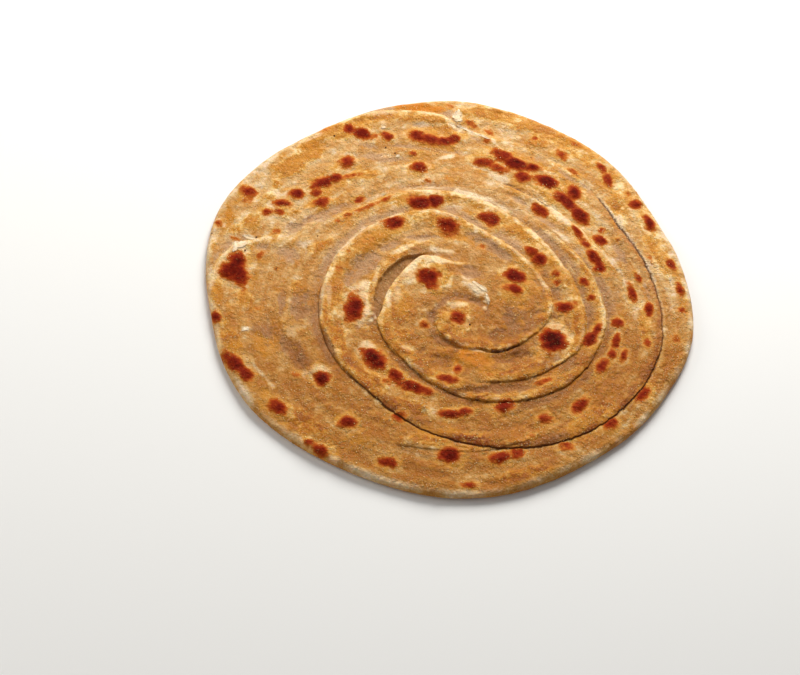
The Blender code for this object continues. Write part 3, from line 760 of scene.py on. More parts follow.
def paint_patches(x, y, places, inner, outer, wobble):
    """The strongest of all patches at each point."""
    total = np.zeros_like(x)
    for place in places:
        reach = outer * max(place[2], place[3])
        near = (np.abs(x - place[0]) < reach) & (np.abs(y - place[1]) < reach)
        d = patch(x[near], y[near], place, wobble[near])
        total[near] = np.maximum(total[near], place[5] * (1 - smoothstep(d, inner, outer)))
    return total


def crease_field(x, y, wander):
    """1 along the fine cracks and 0 elsewhere."""
    total = np.zeros_like(x)
    for depth, *points in CREASES:
        reach = [(min(p[k] for p in points) - 1.5, max(p[k] for p in points) + 1.5) for k in (0, 1)]
        near = (x > reach[0][0]) & (x < reach[0][1]) & (y > reach[1][0]) & (y < reach[1][1])
        px, py = x[near], y[near]
        nearest = np.full(px.shape, 9.0)
        for (ax, ay), (bx, by) in zip(points, points[1:]):
            length = math.hypot(bx - ax, by - ay)
            along_it = np.clip(((px - ax) * (bx - ax) + (py - ay) * (by - ay)) / length ** 2, 0, 1)
            away = np.hypot(px - ax - along_it * (bx - ax), py - ay - along_it * (by - ay))
            nearest = np.minimum(nearest, away)
        total[near] = np.maximum(total[near], depth * bell(nearest + wander[near], 0.0, CRACK_WIDTH))
    return total


middle_spot = patch(4.0, -13.5, SPOTS[0], 0.0)
print("in the middle of the first spot the distance is", round(float(middle_spot), 2))

# %% [markdown]
# ## Putting the relief together
# The height of the dough at a point is a sum: the dome, the long hand-rolled
# swells, every lip, the open gap, small uneven bumps, and the blisters. Working
# on whole arrays of points at once keeps this quick.

# %% Dome, gap and heart
# heights, depths and sizes in mm
BLISTER = 0.60
BROAD_SHARE = 0.60
LOWERED = 0.50
CREASE_DEPTH = 0.35
UNEVEN, UNEVEN_SIZE = 0.32, 9.0
LUMPS, LUMP_SIZE = 0.22, 2.6
DRAWN_OUT = 0.24
HEART_GROOVE, HEART_RADIUS, HEART_WIDTH = 0.6, 8.3, 1.7
DRAWN_START = (6.0, 16.0)  # mm from the eye where the drawn-out waves begin and are full
HEIGHT_KNEE = 4.45
HEIGHT_ROOM = 0.72


def rim_distance(x, y):
    """Distance inside the outline."""
    return outline_radius(np.degrees(np.arctan2(y, x))) - np.hypot(x, y)


def dome(x, y):
    """The bread's smooth height: a low dome with long, hand-rolled swells."""
    rho = np.hypot(x, y) / outline_radius(np.degrees(np.arctan2(y, x)))
    z = THICK_RIM + (THICK_MIDDLE - THICK_RIM) * (1 - rho ** 2)
    for direction, length, size, phase in DOUGH_SWELLS:
        across = x * math.cos(math.radians(direction)) + y * math.sin(math.radians(direction))
        z = z + size * np.sin(2 * math.pi * across / length + phase)
    return z


def unevenness(x, y, theta, r):
    """Small swells and lumps, and fine waves that are drawn out round the coil."""
    drawn = round_noise(r, theta, 3.4, 22, 67) + 0.6 * round_noise(r, theta, 1.7, 34, 68)
    small = UNEVEN * rough(x, y, UNEVEN_SIZE, 61) + LUMPS * rough(x, y, LUMP_SIZE, 65)
    return small + DRAWN_OUT * drawn * smoothstep(r, *DRAWN_START)


def kept_low(z):
    """Rounds off what stands above the knee, so that nothing leaves the solid's box."""
    over = np.clip(z - HEIGHT_KNEE, 0.0, None)
    return np.minimum(z, HEIGHT_KNEE) + HEIGHT_ROOM * (1 - np.exp(-over / HEIGHT_ROOM))


def open_gap(theta, r):
    """The gap outside the inner lip: its floor, the painted shade along the crack under its wall, and its
    golden bank.
    """
    past = r - along(INNER_LIP, theta, 1)
    width = gap_width(theta) + 0.4 * noise(theta / 3.6, 0.5, 64) + 0.25 * noise(theta / 1.5, 0.5, 63)
    floor = band(past, 0.0, 0.5, width - 0.5, width) * smoothstep(width, 0.2, 1.5)
    wall = smoothstep(width, 0.4, 1.5) * np.clip(0.35 + 0.8 * noise(theta / 2.2, 0.5, 62), 0, 1)
    # painted shade under the gap's wall
    crack = 0.8 * wall * bell(past, width - 0.2, 0.22)
    return floor, crack, smoothstep(width, 0.4, 1.5) * bell(past, width + 1.6, 1.4)


def heart_turn(theta, r):
    """1 in the groove of the coil's first half turn."""
    turned = np.clip(1.15 - np.abs(theta - 85.0) / 110.0, 0.0, 1.0)
    return turned * bell(r, HEART_RADIUS + 0.6 * noise(theta / 40.0, 0.5, 66), HEART_WIDTH)


print("the dome is", round(float(dome(0.0, 0.0)), 2), "mm high in the middle")


# %% The lips together
def sum_lips(x, y, r, lines):
    """Height and outward lean of all the lips, and the strongest of their marks; the pale lip edges get a
    painted highlight that grows towards the far, lit side.
    """
    height, lean = np.zeros_like(r), np.zeros_like(r)
    names = ("edge", "gold", "dull", "crack", "shade")
    marks = {name: np.zeros_like(r) for name in names}
    # painted highlight: the lips' pale edges grow paler towards the far side, where the light comes from
    lit_edge_highlight = 0.6 + 0.6 * smoothstep(y - 0.3 * x, -30, 15)
    for line in lines:
        s = (r - line["radius"]) * line["cos"]
        rise, outward = lip_section(s, line)
        height += rise
        lean += outward
        for name, mark in zip(names, lip_marks(s, line)):
            marks[name] = np.maximum(marks[name], mark * lit_edge_highlight if name == "edge" else mark)
    return height, lean, marks


def golden_rim(x, y):
    """The rise inside the far rim, which touched the pan."""
    return bell(rim_distance(x, y), 5.0, 3.5) * smoothstep(y, -10, 40) * smoothstep(x, -70, 0)


def pale_rim(x, y):
    """The thin edge, which stays pale, most of all on the near side."""
    strength = (0.65 - 0.45 * smoothstep(y, 10, 50)) * (0.8 + 0.5 * noise(x / 5, y / 5, 77))
    return strength * bell(rim_distance(x, y), 1.2, 1.5)


def fried_and_shaded_side(x, y):
    """How brown and dark the crust is: most on the near side, partly from frying and partly as painted
    shade.
    """
    toward = y - 0.28 * x + 0.75 * np.clip(x - 38, 0, 45)
    return np.clip(1 - smoothstep(toward, -32, 34) + 0.2 * rough(x, y, 12.0, 75), 0, 1)


print("on the near side the crust is", round(float(fried_and_shaded_side(0.0, -60.0)), 2), "fried")

# %% The top's surface
# where a patch is full and where it has faded, as shares of its half size
SWELL_REACH = (0.2, 1.5)
CHAR_REACH = (0.25, 1.48)
HALO_REACH = (0.9, 2.1)
BLISTER_REACH = (0.4, 1.2)
DULL_REACH = (0.2, 1.25)
TOASTED_REACH = (0.3, 1.2)
PALE_REACH = (0.3, 1.25)


def top_surface(theta, r, lines):
    """Places of the top's points, and the marks that colour them."""
    cos, sin = np.cos(np.radians(theta)), np.sin(np.radians(theta))
    x, y = EYE[0] + r * cos, EYE[1] + r * sin
    lips, lean, mark = sum_lips(x, y, r, lines)
    floor, gap_wall_shade, bank = open_gap(theta, r)
    heart = heart_turn(theta, r)
    wobble = 0.22 * noise(x / 2.9, y / 2.9, 71) + 0.09 * noise(x / 1.3, y / 1.3, 72)
    broad = 0.34 * noise(x / 3.4, y / 3.4, 73) + 0.22 * noise(x / 1.5, y / 1.5, 74)
    swollen = paint_patches(x, y, SPOTS, *SWELL_REACH, 0.5 * wobble)
    lowered = paint_patches(x, y, DULL_AND_SHADED, *DULL_REACH, broad)
    golden = 0.7 * np.maximum(mark["gold"], bank) + 0.6 * golden_rim(x, y)
    blistered = paint_patches(x, y, BLISTERED, *BLISTER_REACH, broad)
    blistered = np.clip(blistered + golden - 0.6 * lowered, 0, 1)
    wrinkled = crease_field(x, y, 0.12 * noise(x / 1.1, y / 1.1, 76))
    pale = np.maximum(pale_rim(x, y), paint_patches(x, y, PALE, *PALE_REACH, broad))
    z = dome(x, y) + lips + unevenness(x, y, theta, r)
    z += BLISTER * np.maximum(swollen, BROAD_SHARE * blistered)
    z -= GAP_DEPTH * floor + HEART_GROOVE * heart
    z -= LOWERED * lowered + CREASE_DEPTH * wrinkled
    marks = {
        "char": paint_patches(x, y, SPOTS, *CHAR_REACH, wobble),
        "halo": paint_patches(x, y, SPOTS, *HALO_REACH, broad),
        "orange": paint_patches(x, y, TOASTED_AND_SHADOWED, *TOASTED_REACH, broad),
        "toast": blistered,
        # dull: steamed dough, partly painted shade, in the sunk troughs, the lips' feet and the heart's
        # groove
        "dull": np.maximum(np.maximum(0.6 * mark["dull"], heart), lowered),
        # pale: thin dry skin and pale rims, with the painted highlights of the lip edges
        "pale": np.maximum(mark["edge"], pale),
        # painted shade in the lips' cracks, under the gap's wall and along the fine creases
        "crack": np.maximum(np.maximum(mark["crack"], gap_wall_shade), 0.8 * wrinkled),
        "gap": floor,
        "shade": mark["shade"],
        # darker towards the near side: partly frying, partly painted shade
        "fried": fried_and_shaded_side(x, y),
    }
    return EYE[0] + (r + lean) * cos, EYE[1] + (r + lean) * sin, kept_low(z), marks


theta_grid = np.broadcast_to(spoke_angles, top_radius.shape)
top_x, top_y, top_z, top_marks = top_surface(theta_grid, top_radius, lip_table)
inside = ends[None, :] - top_radius
round_off = np.sqrt(np.clip(1 - (1 - np.clip(inside / RIM_ROUND, 0, 1)) ** 2, 0, 1))
top_z = RIM_MIDDLE + (top_z - RIM_MIDDLE) * round_off
print("top from", round(float(top_z.min()), 2), "to", round(float(top_z.max()), 2), "mm high")

# %% [markdown]
# ## The underside
# The other face of the bread shows the same coil from below, pressed nearly flat
# by the pan, with its own toasted spots. The dough can't go below the surface
# that it lies on, so here the relief only goes upwards, as shallow grooves.

# %% Spots and rings below
UNDER_RIM_RINGS = 9
UNDER_RIM_WIDTH = 3.0
UNDER_SPOTS = 78
UNDER_SPOT_REACH = 74
UNDER_SPOT_LENGTHS = [3, 4, 5, 6, 7, 9, 12]
UNDER_SPOT_SPACE = 7.5


def scattered_spots(count, seed):
    """Toasted spots of mixed sizes, spread over the disc and kept apart."""
    chance = random.Random(seed)
    spots = []
    while len(spots) < count:
        turn, far = chance.uniform(0, 2 * math.pi), UNDER_SPOT_REACH * math.sqrt(chance.random())
        x, y = far * math.cos(turn), far * math.sin(turn)
        if any(math.hypot(x - s[0], y - s[1]) < UNDER_SPOT_SPACE for s in spots):
            continue
        long = chance.choice(UNDER_SPOT_LENGTHS)
        wide = long * chance.uniform(0.45, 0.85)
        tilt = math.degrees(math.atan2(y - EYE[1], x - EYE[0])) + 90 + chance.uniform(-15, 15)
        spots.append((x, y, long, wide, tilt, chance.uniform(0.5, 1.1)))
    return spots


def under_radii():
    """Ring radii from the rim back to the eye, closest together round the rim."""
    first = UNDER_RIM_WIDTH * (np.arange(1, UNDER_RIM_RINGS + 1) / UNDER_RIM_RINGS) ** 2
    rest = np.linspace(0, 1, UNDER_RINGS - UNDER_RIM_RINGS + 1)[1:]
    near_rim = ends[None, :] - first[:, None]
    far_in = near_rim[-1][None, :] * (1 - rest[:, None])
    return np.concatenate([near_rim, far_in])


under_spots = scattered_spots(UNDER_SPOTS, 5)
under_radius = under_radii()
print(len(under_spots), "spots and", len(under_radius), "rings below")

# %% The underside's surface
UNDER_CHAR_REACH = (0.20, 1.40)
UNDER_GROOVE = 0.5
UNDER_LIP_OFFSET = 3.5


def under_surface(theta, r, lines):
    """Places of the underside's points, and the marks that colour them."""
    cos, sin = np.cos(np.radians(theta)), np.sin(np.radians(theta))
    x, y = EYE[0] + r * cos, EYE[1] + r * sin
    inside = ends[None, :] - r
    curl = np.clip(1 - inside / BASE_INSET, 0, 1)
    z = RIM_MIDDLE * (1 - np.sqrt(1 - curl ** 2))
    relief = 0.10 + 0.10 * rough(x, y, 7.0, 81)
    edge, gold, dull, crack = (np.zeros_like(r) for _ in range(4))
    for line in lines:
        s = (r - line["radius"] - UNDER_LIP_OFFSET) * line["cos"]
        strength = np.clip(line["step"], 0, 1)
        relief = relief + UNDER_GROOVE * strength * bell(s, 0.4, 0.55)
        relief = relief + 0.2 * strength * band(s, 0.4, 1.0, 1.0, 6.0)
        # the groove's dark line is painted shade
        crack = np.maximum(crack, 0.8 * strength * bell(s, 0.4, 0.4))
        edge = np.maximum(edge, 0.5 * strength * bell(s, -0.6, 0.6))
        gold = np.maximum(gold, 0.6 * strength * band(s, -7, -1, 0, 0.4))
        dull = np.maximum(dull, 0.6 * strength * band(s, 0.6, 1.4, 1.4, 6))
    wobble = 0.15 * noise(x / 3.1, y / 3.1, 91) + 0.10 * noise(x / 1.3, y / 1.3, 92)
    char = paint_patches(x, y, under_spots, *UNDER_CHAR_REACH, wobble)
    relief = np.clip(relief, 0.0, None) * np.clip(1 - char, 0, 1) * smoothstep(inside, 0.5, 4.0)
    marks = {
        "char": char, "halo": paint_patches(x, y, under_spots, *HALO_REACH, 2 * wobble),
        "orange": np.clip(0.9 * rough(x, y, 11.0, 96), 0, 1),
        "toast": np.maximum(gold, 0.35 + 0.35 * rough(x, y, 16.0, 95)), "dull": dull,
        # shade: more painted shade along the grooves
        "pale": edge, "crack": crack, "gap": np.zeros_like(r), "shade": 0.5 * crack,
        "fried": np.clip(0.6 + 0.4 * rough(x, y, 25.0, 97), 0, 1),
    }
    return x, y, z + relief, marks


theta_under = np.broadcast_to(spoke_angles, under_radius.shape)
under_x, under_y, under_z, under_marks = under_surface(theta_under, under_radius, lip_table)
print("underside relief up to", round(float(under_z[UNDER_RIM_RINGS:].max()), 2), "mm")

# %% [markdown]
# ## Moving the wheel's points into place
# Each point of the wheel knows its ring from its distance and its spoke from its
# angle, so it can look up its place in the tables above. The seen rim gets a
# shallow groove, where the last layer is folded over the one below it. Then the
# far pole is merged, the faces are turned to point outwards, and the marks are
# stored as attributes, which the material reads.

# %% The groove round the rim
RIM_GROOVE = 0.28


def rim_groove(x, y, z):
    """Draws the side of the rim in a little along an uneven line."""
    turn = np.arctan2(y, x)
    level = 1.9 + 0.35 * noise(turn * 9, 0.5, 101)
    depth = RIM_GROOVE * (0.55 + 0.45 * noise(turn * 16, 0.5, 102)) * bell(z, level, 0.28)
    depth = depth * (1 - smoothstep(rim_distance(x, y), 0.5, 2.0))
    return x - depth * np.cos(turn), y - depth * np.sin(turn)


print("the rim's groove is up to", RIM_GROOVE, "mm deep")

# %% Shape the dough
COIL_TURN = 9.0
MERGE_DISTANCE = 0.002 * MM


def place_points(wheel):
    """Moves the wheel's points to the bread's surface and stores their marks."""
    count = len(wheel.data.vertices)
    flat = np.zeros(count * 3, np.float32)
    wheel.data.vertices.foreach_get("co", flat)
    flat = flat.reshape(-1, 3)
    ring = np.rint(np.hypot(flat[:, 0], flat[:, 1])).astype(int)
    spoke = np.rint(np.degrees(np.arctan2(flat[:, 1], flat[:, 0])) % 360 * SPOKES / 360)
    spoke = spoke.astype(int) % SPOKES
    x = np.concatenate([top_x, under_x])
    y = np.concatenate([top_y, under_y])
    z = np.concatenate([top_z, under_z])
    x, y = rim_groove(x, y, z)
    for pole in (0, -1):
        z[pole] = z[pole].mean()
    places = np.stack([x - MIDDLE[0], y - MIDDLE[1], z], axis=2) * MM
    placed = places[ring, spoke].astype(np.float32)
    wheel.data.vertices.foreach_set("co", placed.ravel())
    for name in top_marks:
        mark = np.concatenate([top_marks[name], under_marks[name]])
        stored = wheel.data.attributes.new(name, "FLOAT", "POINT")
        stored.data.foreach_set("value", mark[ring, spoke].astype(np.float32))
    radius = np.concatenate([top_radius, under_radius])[ring, spoke]
    angle = np.radians(spoke_angles)[spoke]
    coil = np.stack([radius, COIL_TURN * np.cos(angle), COIL_TURN * np.sin(angle)], axis=1) * MM
    stored = wheel.data.attributes.new("coil", "FLOAT_VECTOR", "POINT")
    stored.data.foreach_set("vector", coil.astype(np.float32).ravel())
    wheel.data.update()


def close_and_smooth(piece):
    """Merges the poles, turns every face outwards and shades the surface smooth."""
    select_only(piece)
    bpy.ops.object.mode_set(mode="EDIT")
    bpy.ops.mesh.select_all(action="SELECT")
    bpy.ops.mesh.remove_doubles(threshold=MERGE_DISTANCE)
    bpy.ops.mesh.normals_make_consistent(inside=False)
    bpy.ops.object.mode_set(mode="OBJECT")
    bpy.ops.object.shade_smooth()


place_points(dough)
close_and_smooth(dough)
print("dough:", len(dough.data.vertices), "points,", [round(v / MM, 2) for v in dough.dimensions], "mm")

# %% [markdown]
# ## Helpers that add a node
# A material's nodes could be written out one by one, but its idea is then hard to
# see. Each helper below adds one node, feeds its inputs with numbers, colours or
# other nodes' outputs, and gives back its output, so that a material reads like
# a recipe.

# %% Helpers for nodes
def feed(tree, node, inputs):
    """Feeds a node's inputs, each with a number, a colour or another node's output."""
    for label, value in inputs.items():
        if isinstance(value, (int, float, tuple)):
            node.inputs[label].default_value = value
        else:
            tree.links.new(value, node.inputs[label])


def new_node(tree, kind, inputs, **settings):
    """A node with its settings made first and its inputs fed after."""
    node = tree.nodes.new(kind)
    for name, value in settings.items():
        setattr(node, name, value)
    feed(tree, node, inputs)
    return node


def add_noise(tree, vector, scale, detail, roughness=0.55):
    inputs = {"Vector": vector, "Scale": scale, "Detail": detail, "Roughness": roughness}
    return new_node(tree, "ShaderNodeTexNoise", inputs).outputs["Fac"]


def combine(tree, operation, first, second, clamp=False):
    inputs = {0: first, 1: second}
    return new_node(tree, "ShaderNodeMath", inputs, operation=operation, use_clamp=clamp).outputs[0]


def scaled(tree, value, factor):
    return combine(tree, "MULTIPLY", value, factor)


def weighed(tree, first, *others):
    """Adds (value, weight) pairs to a first value."""
    total = first
    for value, weight in others:
        total = combine(tree, "ADD", total, scaled(tree, value, weight))
    return total


def remap(tree, value, low, high, to_low=0.0, to_high=1.0):
    inputs = {"Value": value, "From Min": low, "From Max": high, "To Min": to_low, "To Max": to_high}
    return new_node(tree, "ShaderNodeMapRange", inputs).outputs["Result"]


def centred(tree, value):
    """A noise's usual range, stretched to run from -1 to 1."""
    return remap(tree, value, 0.3, 0.7, -1.0, 1.0)


print("helpers for numbers are ready")


# %% Helpers for colours and materials
def mix_colour(tree, amount, first, second, blend="MIX"):
    node = new_node(tree, "ShaderNodeMix", {}, data_type="RGBA", blend_type=blend, clamp_result=True)
    feed(tree, node, {0: amount, 6: first, 7: second})
    return node.outputs[2]


def tinted(tree, colour, amount, reach, most, tint):
    """Lays a tint over a colour, from none to the most as an amount crosses its reach."""
    return mix_colour(tree, remap(tree, amount, *reach, 0.0, most), colour, tint)


def colour_ramp(tree, value, stops):
    node = new_node(tree, "ShaderNodeValToRGB", {"Fac": value})
    elements = node.color_ramp.elements
    while len(elements) < len(stops):
        elements.new(0.5)
    for element, (position, colour) in zip(elements, stops):
        element.position = position
        element.color = colour
    return node.outputs["Color"]


def attribute(tree, name, output="Fac"):
    return new_node(tree, "ShaderNodeAttribute", {}, attribute_name=name).outputs[output]


def use_group(tree, group, inputs):
    return new_node(tree, "ShaderNodeGroup", inputs, node_tree=group)


def add_bump(tree, shader, height, distance, socket="Normal"):
    """Bends a shader's normal by a height whose full range is a distance in metres."""
    bump = new_node(tree, "ShaderNodeBump", {"Strength": 1.0, "Distance": distance, "Height": height})
    tree.links.new(bump.outputs["Normal"], shader.inputs[socket])


def new_material(name):
    """A material, its tree, its shader and the piece's own coordinates."""
    material = bpy.data.materials.new(name)
    material.use_nodes = True
    tree = material.node_tree
    coords = tree.nodes.new("ShaderNodeTexCoord").outputs["Object"]
    return material, tree, tree.nodes["Principled BSDF"], coords


def new_group(name, inputs, outputs):
    """An empty node group with its sockets; returns the group, its input and its output node."""
    group = bpy.data.node_groups.new(name, "ShaderNodeTree")
    for label, kind, value in inputs:
        socket = group.interface.new_socket(label, in_out="INPUT", socket_type=kind)
        if value is not None:
            socket.default_value = value
    for label, kind in outputs:
        group.interface.new_socket(label, in_out="OUTPUT", socket_type=kind)
    return group, group.nodes.new("NodeGroupInput"), group.nodes.new("NodeGroupOutput")


print("helpers for colours, materials and groups are ready")

# %% [markdown]
# ## Two effects as node groups
# "crumb grain" makes the fine texture of flour and fried crust: a height for
# bumps, masks of pale grains, pits, freckles, bald places and dark bran specks,
# and a slow mottling. On the dough the pale grains are partly painted glints. The
# dough, the flakes and the crumbs all use it. "pan toasting" takes a colour
# through orange and red-brown to nearly black as the dough chars. Only the dough
# uses it, but as a group it is easy to reuse.

# %% The crumb grain group
GRAIN_OUTPUTS = ("Height", "Grains", "Specks", "Patchy", "Fine", "Freckles", "Bald", "Pits")
PIT_SHIFT = (0.0031, 0.0017, 0.0023)  # metres, so that the pits miss the grains


def cells(tree, vector, scale, threshold):
    """Small round dots: 1 inside a dot and 0 outside, one dot to a cell."""
    inputs = {"Vector": vector, "Scale": scale, "Randomness": 1.0}
    distance = new_node(tree, "ShaderNodeTexVoronoi", inputs).outputs["Distance"]
    return remap(tree, distance, threshold, 0.4 * threshold)


def only_where(tree, dots, slow_noise, low, high, clamp=False):
    """Keeps dots only in the places where a slower noise is high."""
    chosen = remap(tree, add_noise(tree, *slow_noise), low, high)
    return combine(tree, "MULTIPLY", dots, chosen, clamp)


def build_crumb_grain():
    group, given, result = new_group(
        "crumb grain",
        [("Vector", "NodeSocketVector", None), ("Coil", "NodeSocketVector", None)],
        [(name, "NodeSocketFloat") for name in GRAIN_OUTPUTS],
    )
    vector, coil = given.outputs["Vector"], given.outputs["Coil"]
    shifted = new_node(group, "ShaderNodeVectorMath", {0: vector, 1: PIT_SHIFT}).outputs[0]
    lumps = add_noise(group, vector, 420.0, 3.0, 0.55)
    crumbs = add_noise(group, vector, 1000.0, 2.0, 0.5)
    fine = add_noise(group, vector, 2300.0, 2.0, 0.6)
    large = only_where(group, cells(group, vector, 700.0, 0.32), (vector, 260.0, 3.0), 0.55, 0.66)
    small = only_where(group, cells(group, vector, 1150.0, 0.34), (vector, 330.0, 3.0), 0.47, 0.62)
    grains = combine(group, "MAXIMUM", large, small)
    pits = only_where(group, cells(group, shifted, 950.0, 0.34), (vector, 420.0, 2.0), 0.42, 0.60)
    bran = cells(group, vector, 330.0, 0.10)
    streaks = centred(group, add_noise(group, coil, 330.0, 3.0, 0.6))
    clouds = centred(group, add_noise(group, vector, 110.0, 2.0, 0.5))
    spots = centred(group, add_noise(group, vector, 240.0, 2.0, 0.5))
    freckles = add_noise(group, vector, 360.0, 3.0, 0.6)
    bald = add_noise(group, vector, 330.0, 4.0, 0.65)
    feed(group, result, {
        "Height": weighed(group, scaled(group, lumps, 1.3), (crumbs, 0.25), (fine, 0.10),
                          (grains, 0.45), (pits, -0.18)),
        "Grains": grains,
        "Specks": only_where(group, bran, (vector, 160.0, 1.0), 0.60, 0.66, clamp=True),
        "Patchy": weighed(group, scaled(group, streaks, 0.55), (clouds, 0.40), (spots, 0.34)),
        "Fine": weighed(group, scaled(group, centred(group, crumbs), 0.6), (centred(group, fine), 0.45)),
        "Freckles": remap(group, freckles, 0.55, 0.66),
        "Bald": remap(group, bald, 0.36, 0.48, 1.0, 0.0),
        "Pits": pits,
    })
    return group


crumb_grain = build_crumb_grain()
print("node group", crumb_grain.name, "has", len(crumb_grain.nodes), "nodes")

# %% The pan toasting group
CHAR_STOPS = [
    (0.0, (0.70, 0.35, 0.075, 1)), (0.16, (0.58, 0.21, 0.026, 1)), (0.32, (0.44, 0.105, 0.010, 1)),
    (0.50, (0.31, 0.035, 0.004, 1)), (0.72, (0.19, 0.012, 0.003, 1)), (0.84, (0.14, 0.008, 0.003, 1)),
    (1.0, (0.060, 0.005, 0.003, 1)),
]


def build_pan_toasting():
    group, given, result = new_group(
        "pan toasting",
        [("Colour", "NodeSocketColor", (0.7, 0.4, 0.15, 1)), ("Vector", "NodeSocketVector", None),
         ("Char", "NodeSocketFloat", 0.0)],
        [("Colour", "NodeSocketColor"), ("Burnt", "NodeSocketFloat")],
    )
    char = given.outputs["Char"]
    speckle = add_noise(group, given.outputs["Vector"], 620.0, 3.0, 0.55)
    uneven = scaled(group, remap(group, speckle, 0.3, 0.7, -0.15, 0.15), remap(group, char, 0.0, 0.3))
    burnt = combine(group, "ADD", scaled(group, char, 0.80), uneven, clamp=True)
    stain = colour_ramp(group, burnt, CHAR_STOPS)
    colour = mix_colour(group, remap(group, burnt, 0.0, 0.26), given.outputs["Colour"], stain)
    feed(group, result, {"Colour": colour, "Burnt": burnt})
    return group


pan_toasting = build_pan_toasting()
print("node group", pan_toasting.name, "has", len(pan_toasting.nodes), "nodes")

# %% [markdown]
# ## The dough's material
# The crust has five colours: tan where it is plain, golden where it rises towards
# a lip, pinkish grey where it was steamed in a fold, cream on the thin lips, and
# the toasted spots on top. Painted shade darkens the cracks, the folds, the sunk
# troughs and the near side; painted highlights pale the lip edges on the lit side,
# and some pale grains are partly painted glints. Attributes say where each goes,
# and noise breaks up their edges, because a smooth blend looks like plastic. Thin
# oil gives a soft sheen, so the roughness is fairly low and uneven, with a faint
# coat over it.

# %% Crust colours
CRUST_LEVEL = 0.42
CRUST_STOPS = [
    # from steamed and pale to well fried
    (0.0, (0.89, 0.69, 0.45, 1)), (0.14, (0.80, 0.555, 0.270, 1)), (0.28, (0.71, 0.418, 0.140, 1)),
    (0.42, (0.63, 0.312, 0.066, 1)), (0.56, (0.55, 0.238, 0.031, 1)), (0.70, (0.48, 0.172, 0.015, 1)),
    (0.84, (0.38, 0.112, 0.009, 1)), (1.0, (0.26, 0.054, 0.005, 1)),
]
STEAMED = (0.485, 0.270, 0.130, 1)
STEAMED_BROWN = (0.27, 0.087, 0.013, 1)
YELLOW = (0.70, 0.385, 0.070, 1)
YELLOWED = (0.98, 0.90, 0.66, 1)
GOLD = (0.55, 0.225, 0.020, 1)
TOASTED_ORANGE = (0.55, 0.180, 0.007, 1)
CREAM = (0.89, 0.69, 0.44, 1)
PALE_GRAIN_AND_GLINT = (0.60, 0.42, 0.14, 1)
PIT = (0.66, 0.50, 0.34, 1)
CRACK_SHADE = (0.12, 0.036, 0.009, 1)
GAP_FLOOR = (0.36, 0.170, 0.050, 1)
BRAN = (0.20, 0.07, 0.02, 1)


print(len(CRUST_STOPS), "stops from pale to well fried")


# %% The crust's colour
def crust_colour(tree, grain, marks):
    """The fried and steamed dough with its yellow, golden and pale places, its painted shade and painted
    highlights, and the blistered mask.
    """
    patchy, fine, freckles = (grain.outputs[name] for name in ("Patchy", "Fine", "Freckles"))
    toast, dull, pale = marks["toast"], marks["dull"], marks["pale"]
    halo, orange, fried = marks["halo"], marks["orange"], marks["fried"]
    risen = weighed(tree, toast, (patchy, 0.50), (halo, 0.5), (dull, -0.3))
    blistered = remap(tree, risen, 0.15, 0.50)
    inner = remap(tree, weighed(tree, toast, (patchy, 0.50)), 0.45, 0.85)
    rough_skin = scaled(tree, fine, remap(tree, blistered, 0.0, 1.0, 0.10, 0.18))
    # fried darkens the near side with frying and painted shade; shade adds the painted shade of the folds
    crust = weighed(tree, rough_skin, (patchy, 0.36), (pale, -0.55), (halo, -0.20), (orange, 0.22),
                    (fried, 0.26), (blistered, -0.06), (inner, 0.20), (freckles, 0.16),
                    (grain.outputs["Bald"], -0.24), (marks["shade"], 0.34))
    colour = colour_ramp(tree, combine(tree, "ADD", crust, CRUST_LEVEL, clamp=True), CRUST_STOPS)
    brown = weighed(tree, fried, (patchy, 0.30), (fine, 0.22))
    steamed = mix_colour(tree, brown, STEAMED, STEAMED_BROWN)
    plain = remap(tree, blistered, 0.0, 1.0, 0.34, 0.0)
    # sunk places take the steamed colour: steamed dough, and painted shade in the troughs
    sunk = remap(tree, weighed(tree, dull, (patchy, -0.25)), 0.15, 0.6, 0.0, 0.92)
    sunk = scaled(tree, sunk, remap(tree, pale, 0.2, 0.8, 1.0, 0.0))
    colour = mix_colour(tree, combine(tree, "MAXIMUM", plain, sunk), colour, steamed)
    yellow = weighed(tree, halo, (patchy, 0.4), (fine, 0.2))
    colour = tinted(tree, colour, yellow, (0.3, 1.0), 0.35, YELLOW)
    colour = mix_colour(tree, scaled(tree, blistered, 0.75), colour, YELLOWED, "MULTIPLY")
    browned = weighed(tree, orange, (halo, 0.18), (patchy, 0.3), (fine, 0.15), (freckles, 0.2))
    colour = tinted(tree, colour, browned, (0.05, 0.48), 0.95, GOLD)
    colour = tinted(tree, colour, browned, (0.42, 0.95), 1.0, TOASTED_ORANGE)
    # pale places: thin dry skin, with the painted highlights of the lit lip edges and outside the folds
    dry_skin = weighed(tree, pale, (patchy, 0.25), (fine, 0.15), (orange, -0.7))
    return tinted(tree, colour, dry_skin, (0.35, 1.1), 0.75, CREAM), blistered


print("the crust's colour reads the marks:", *top_marks)


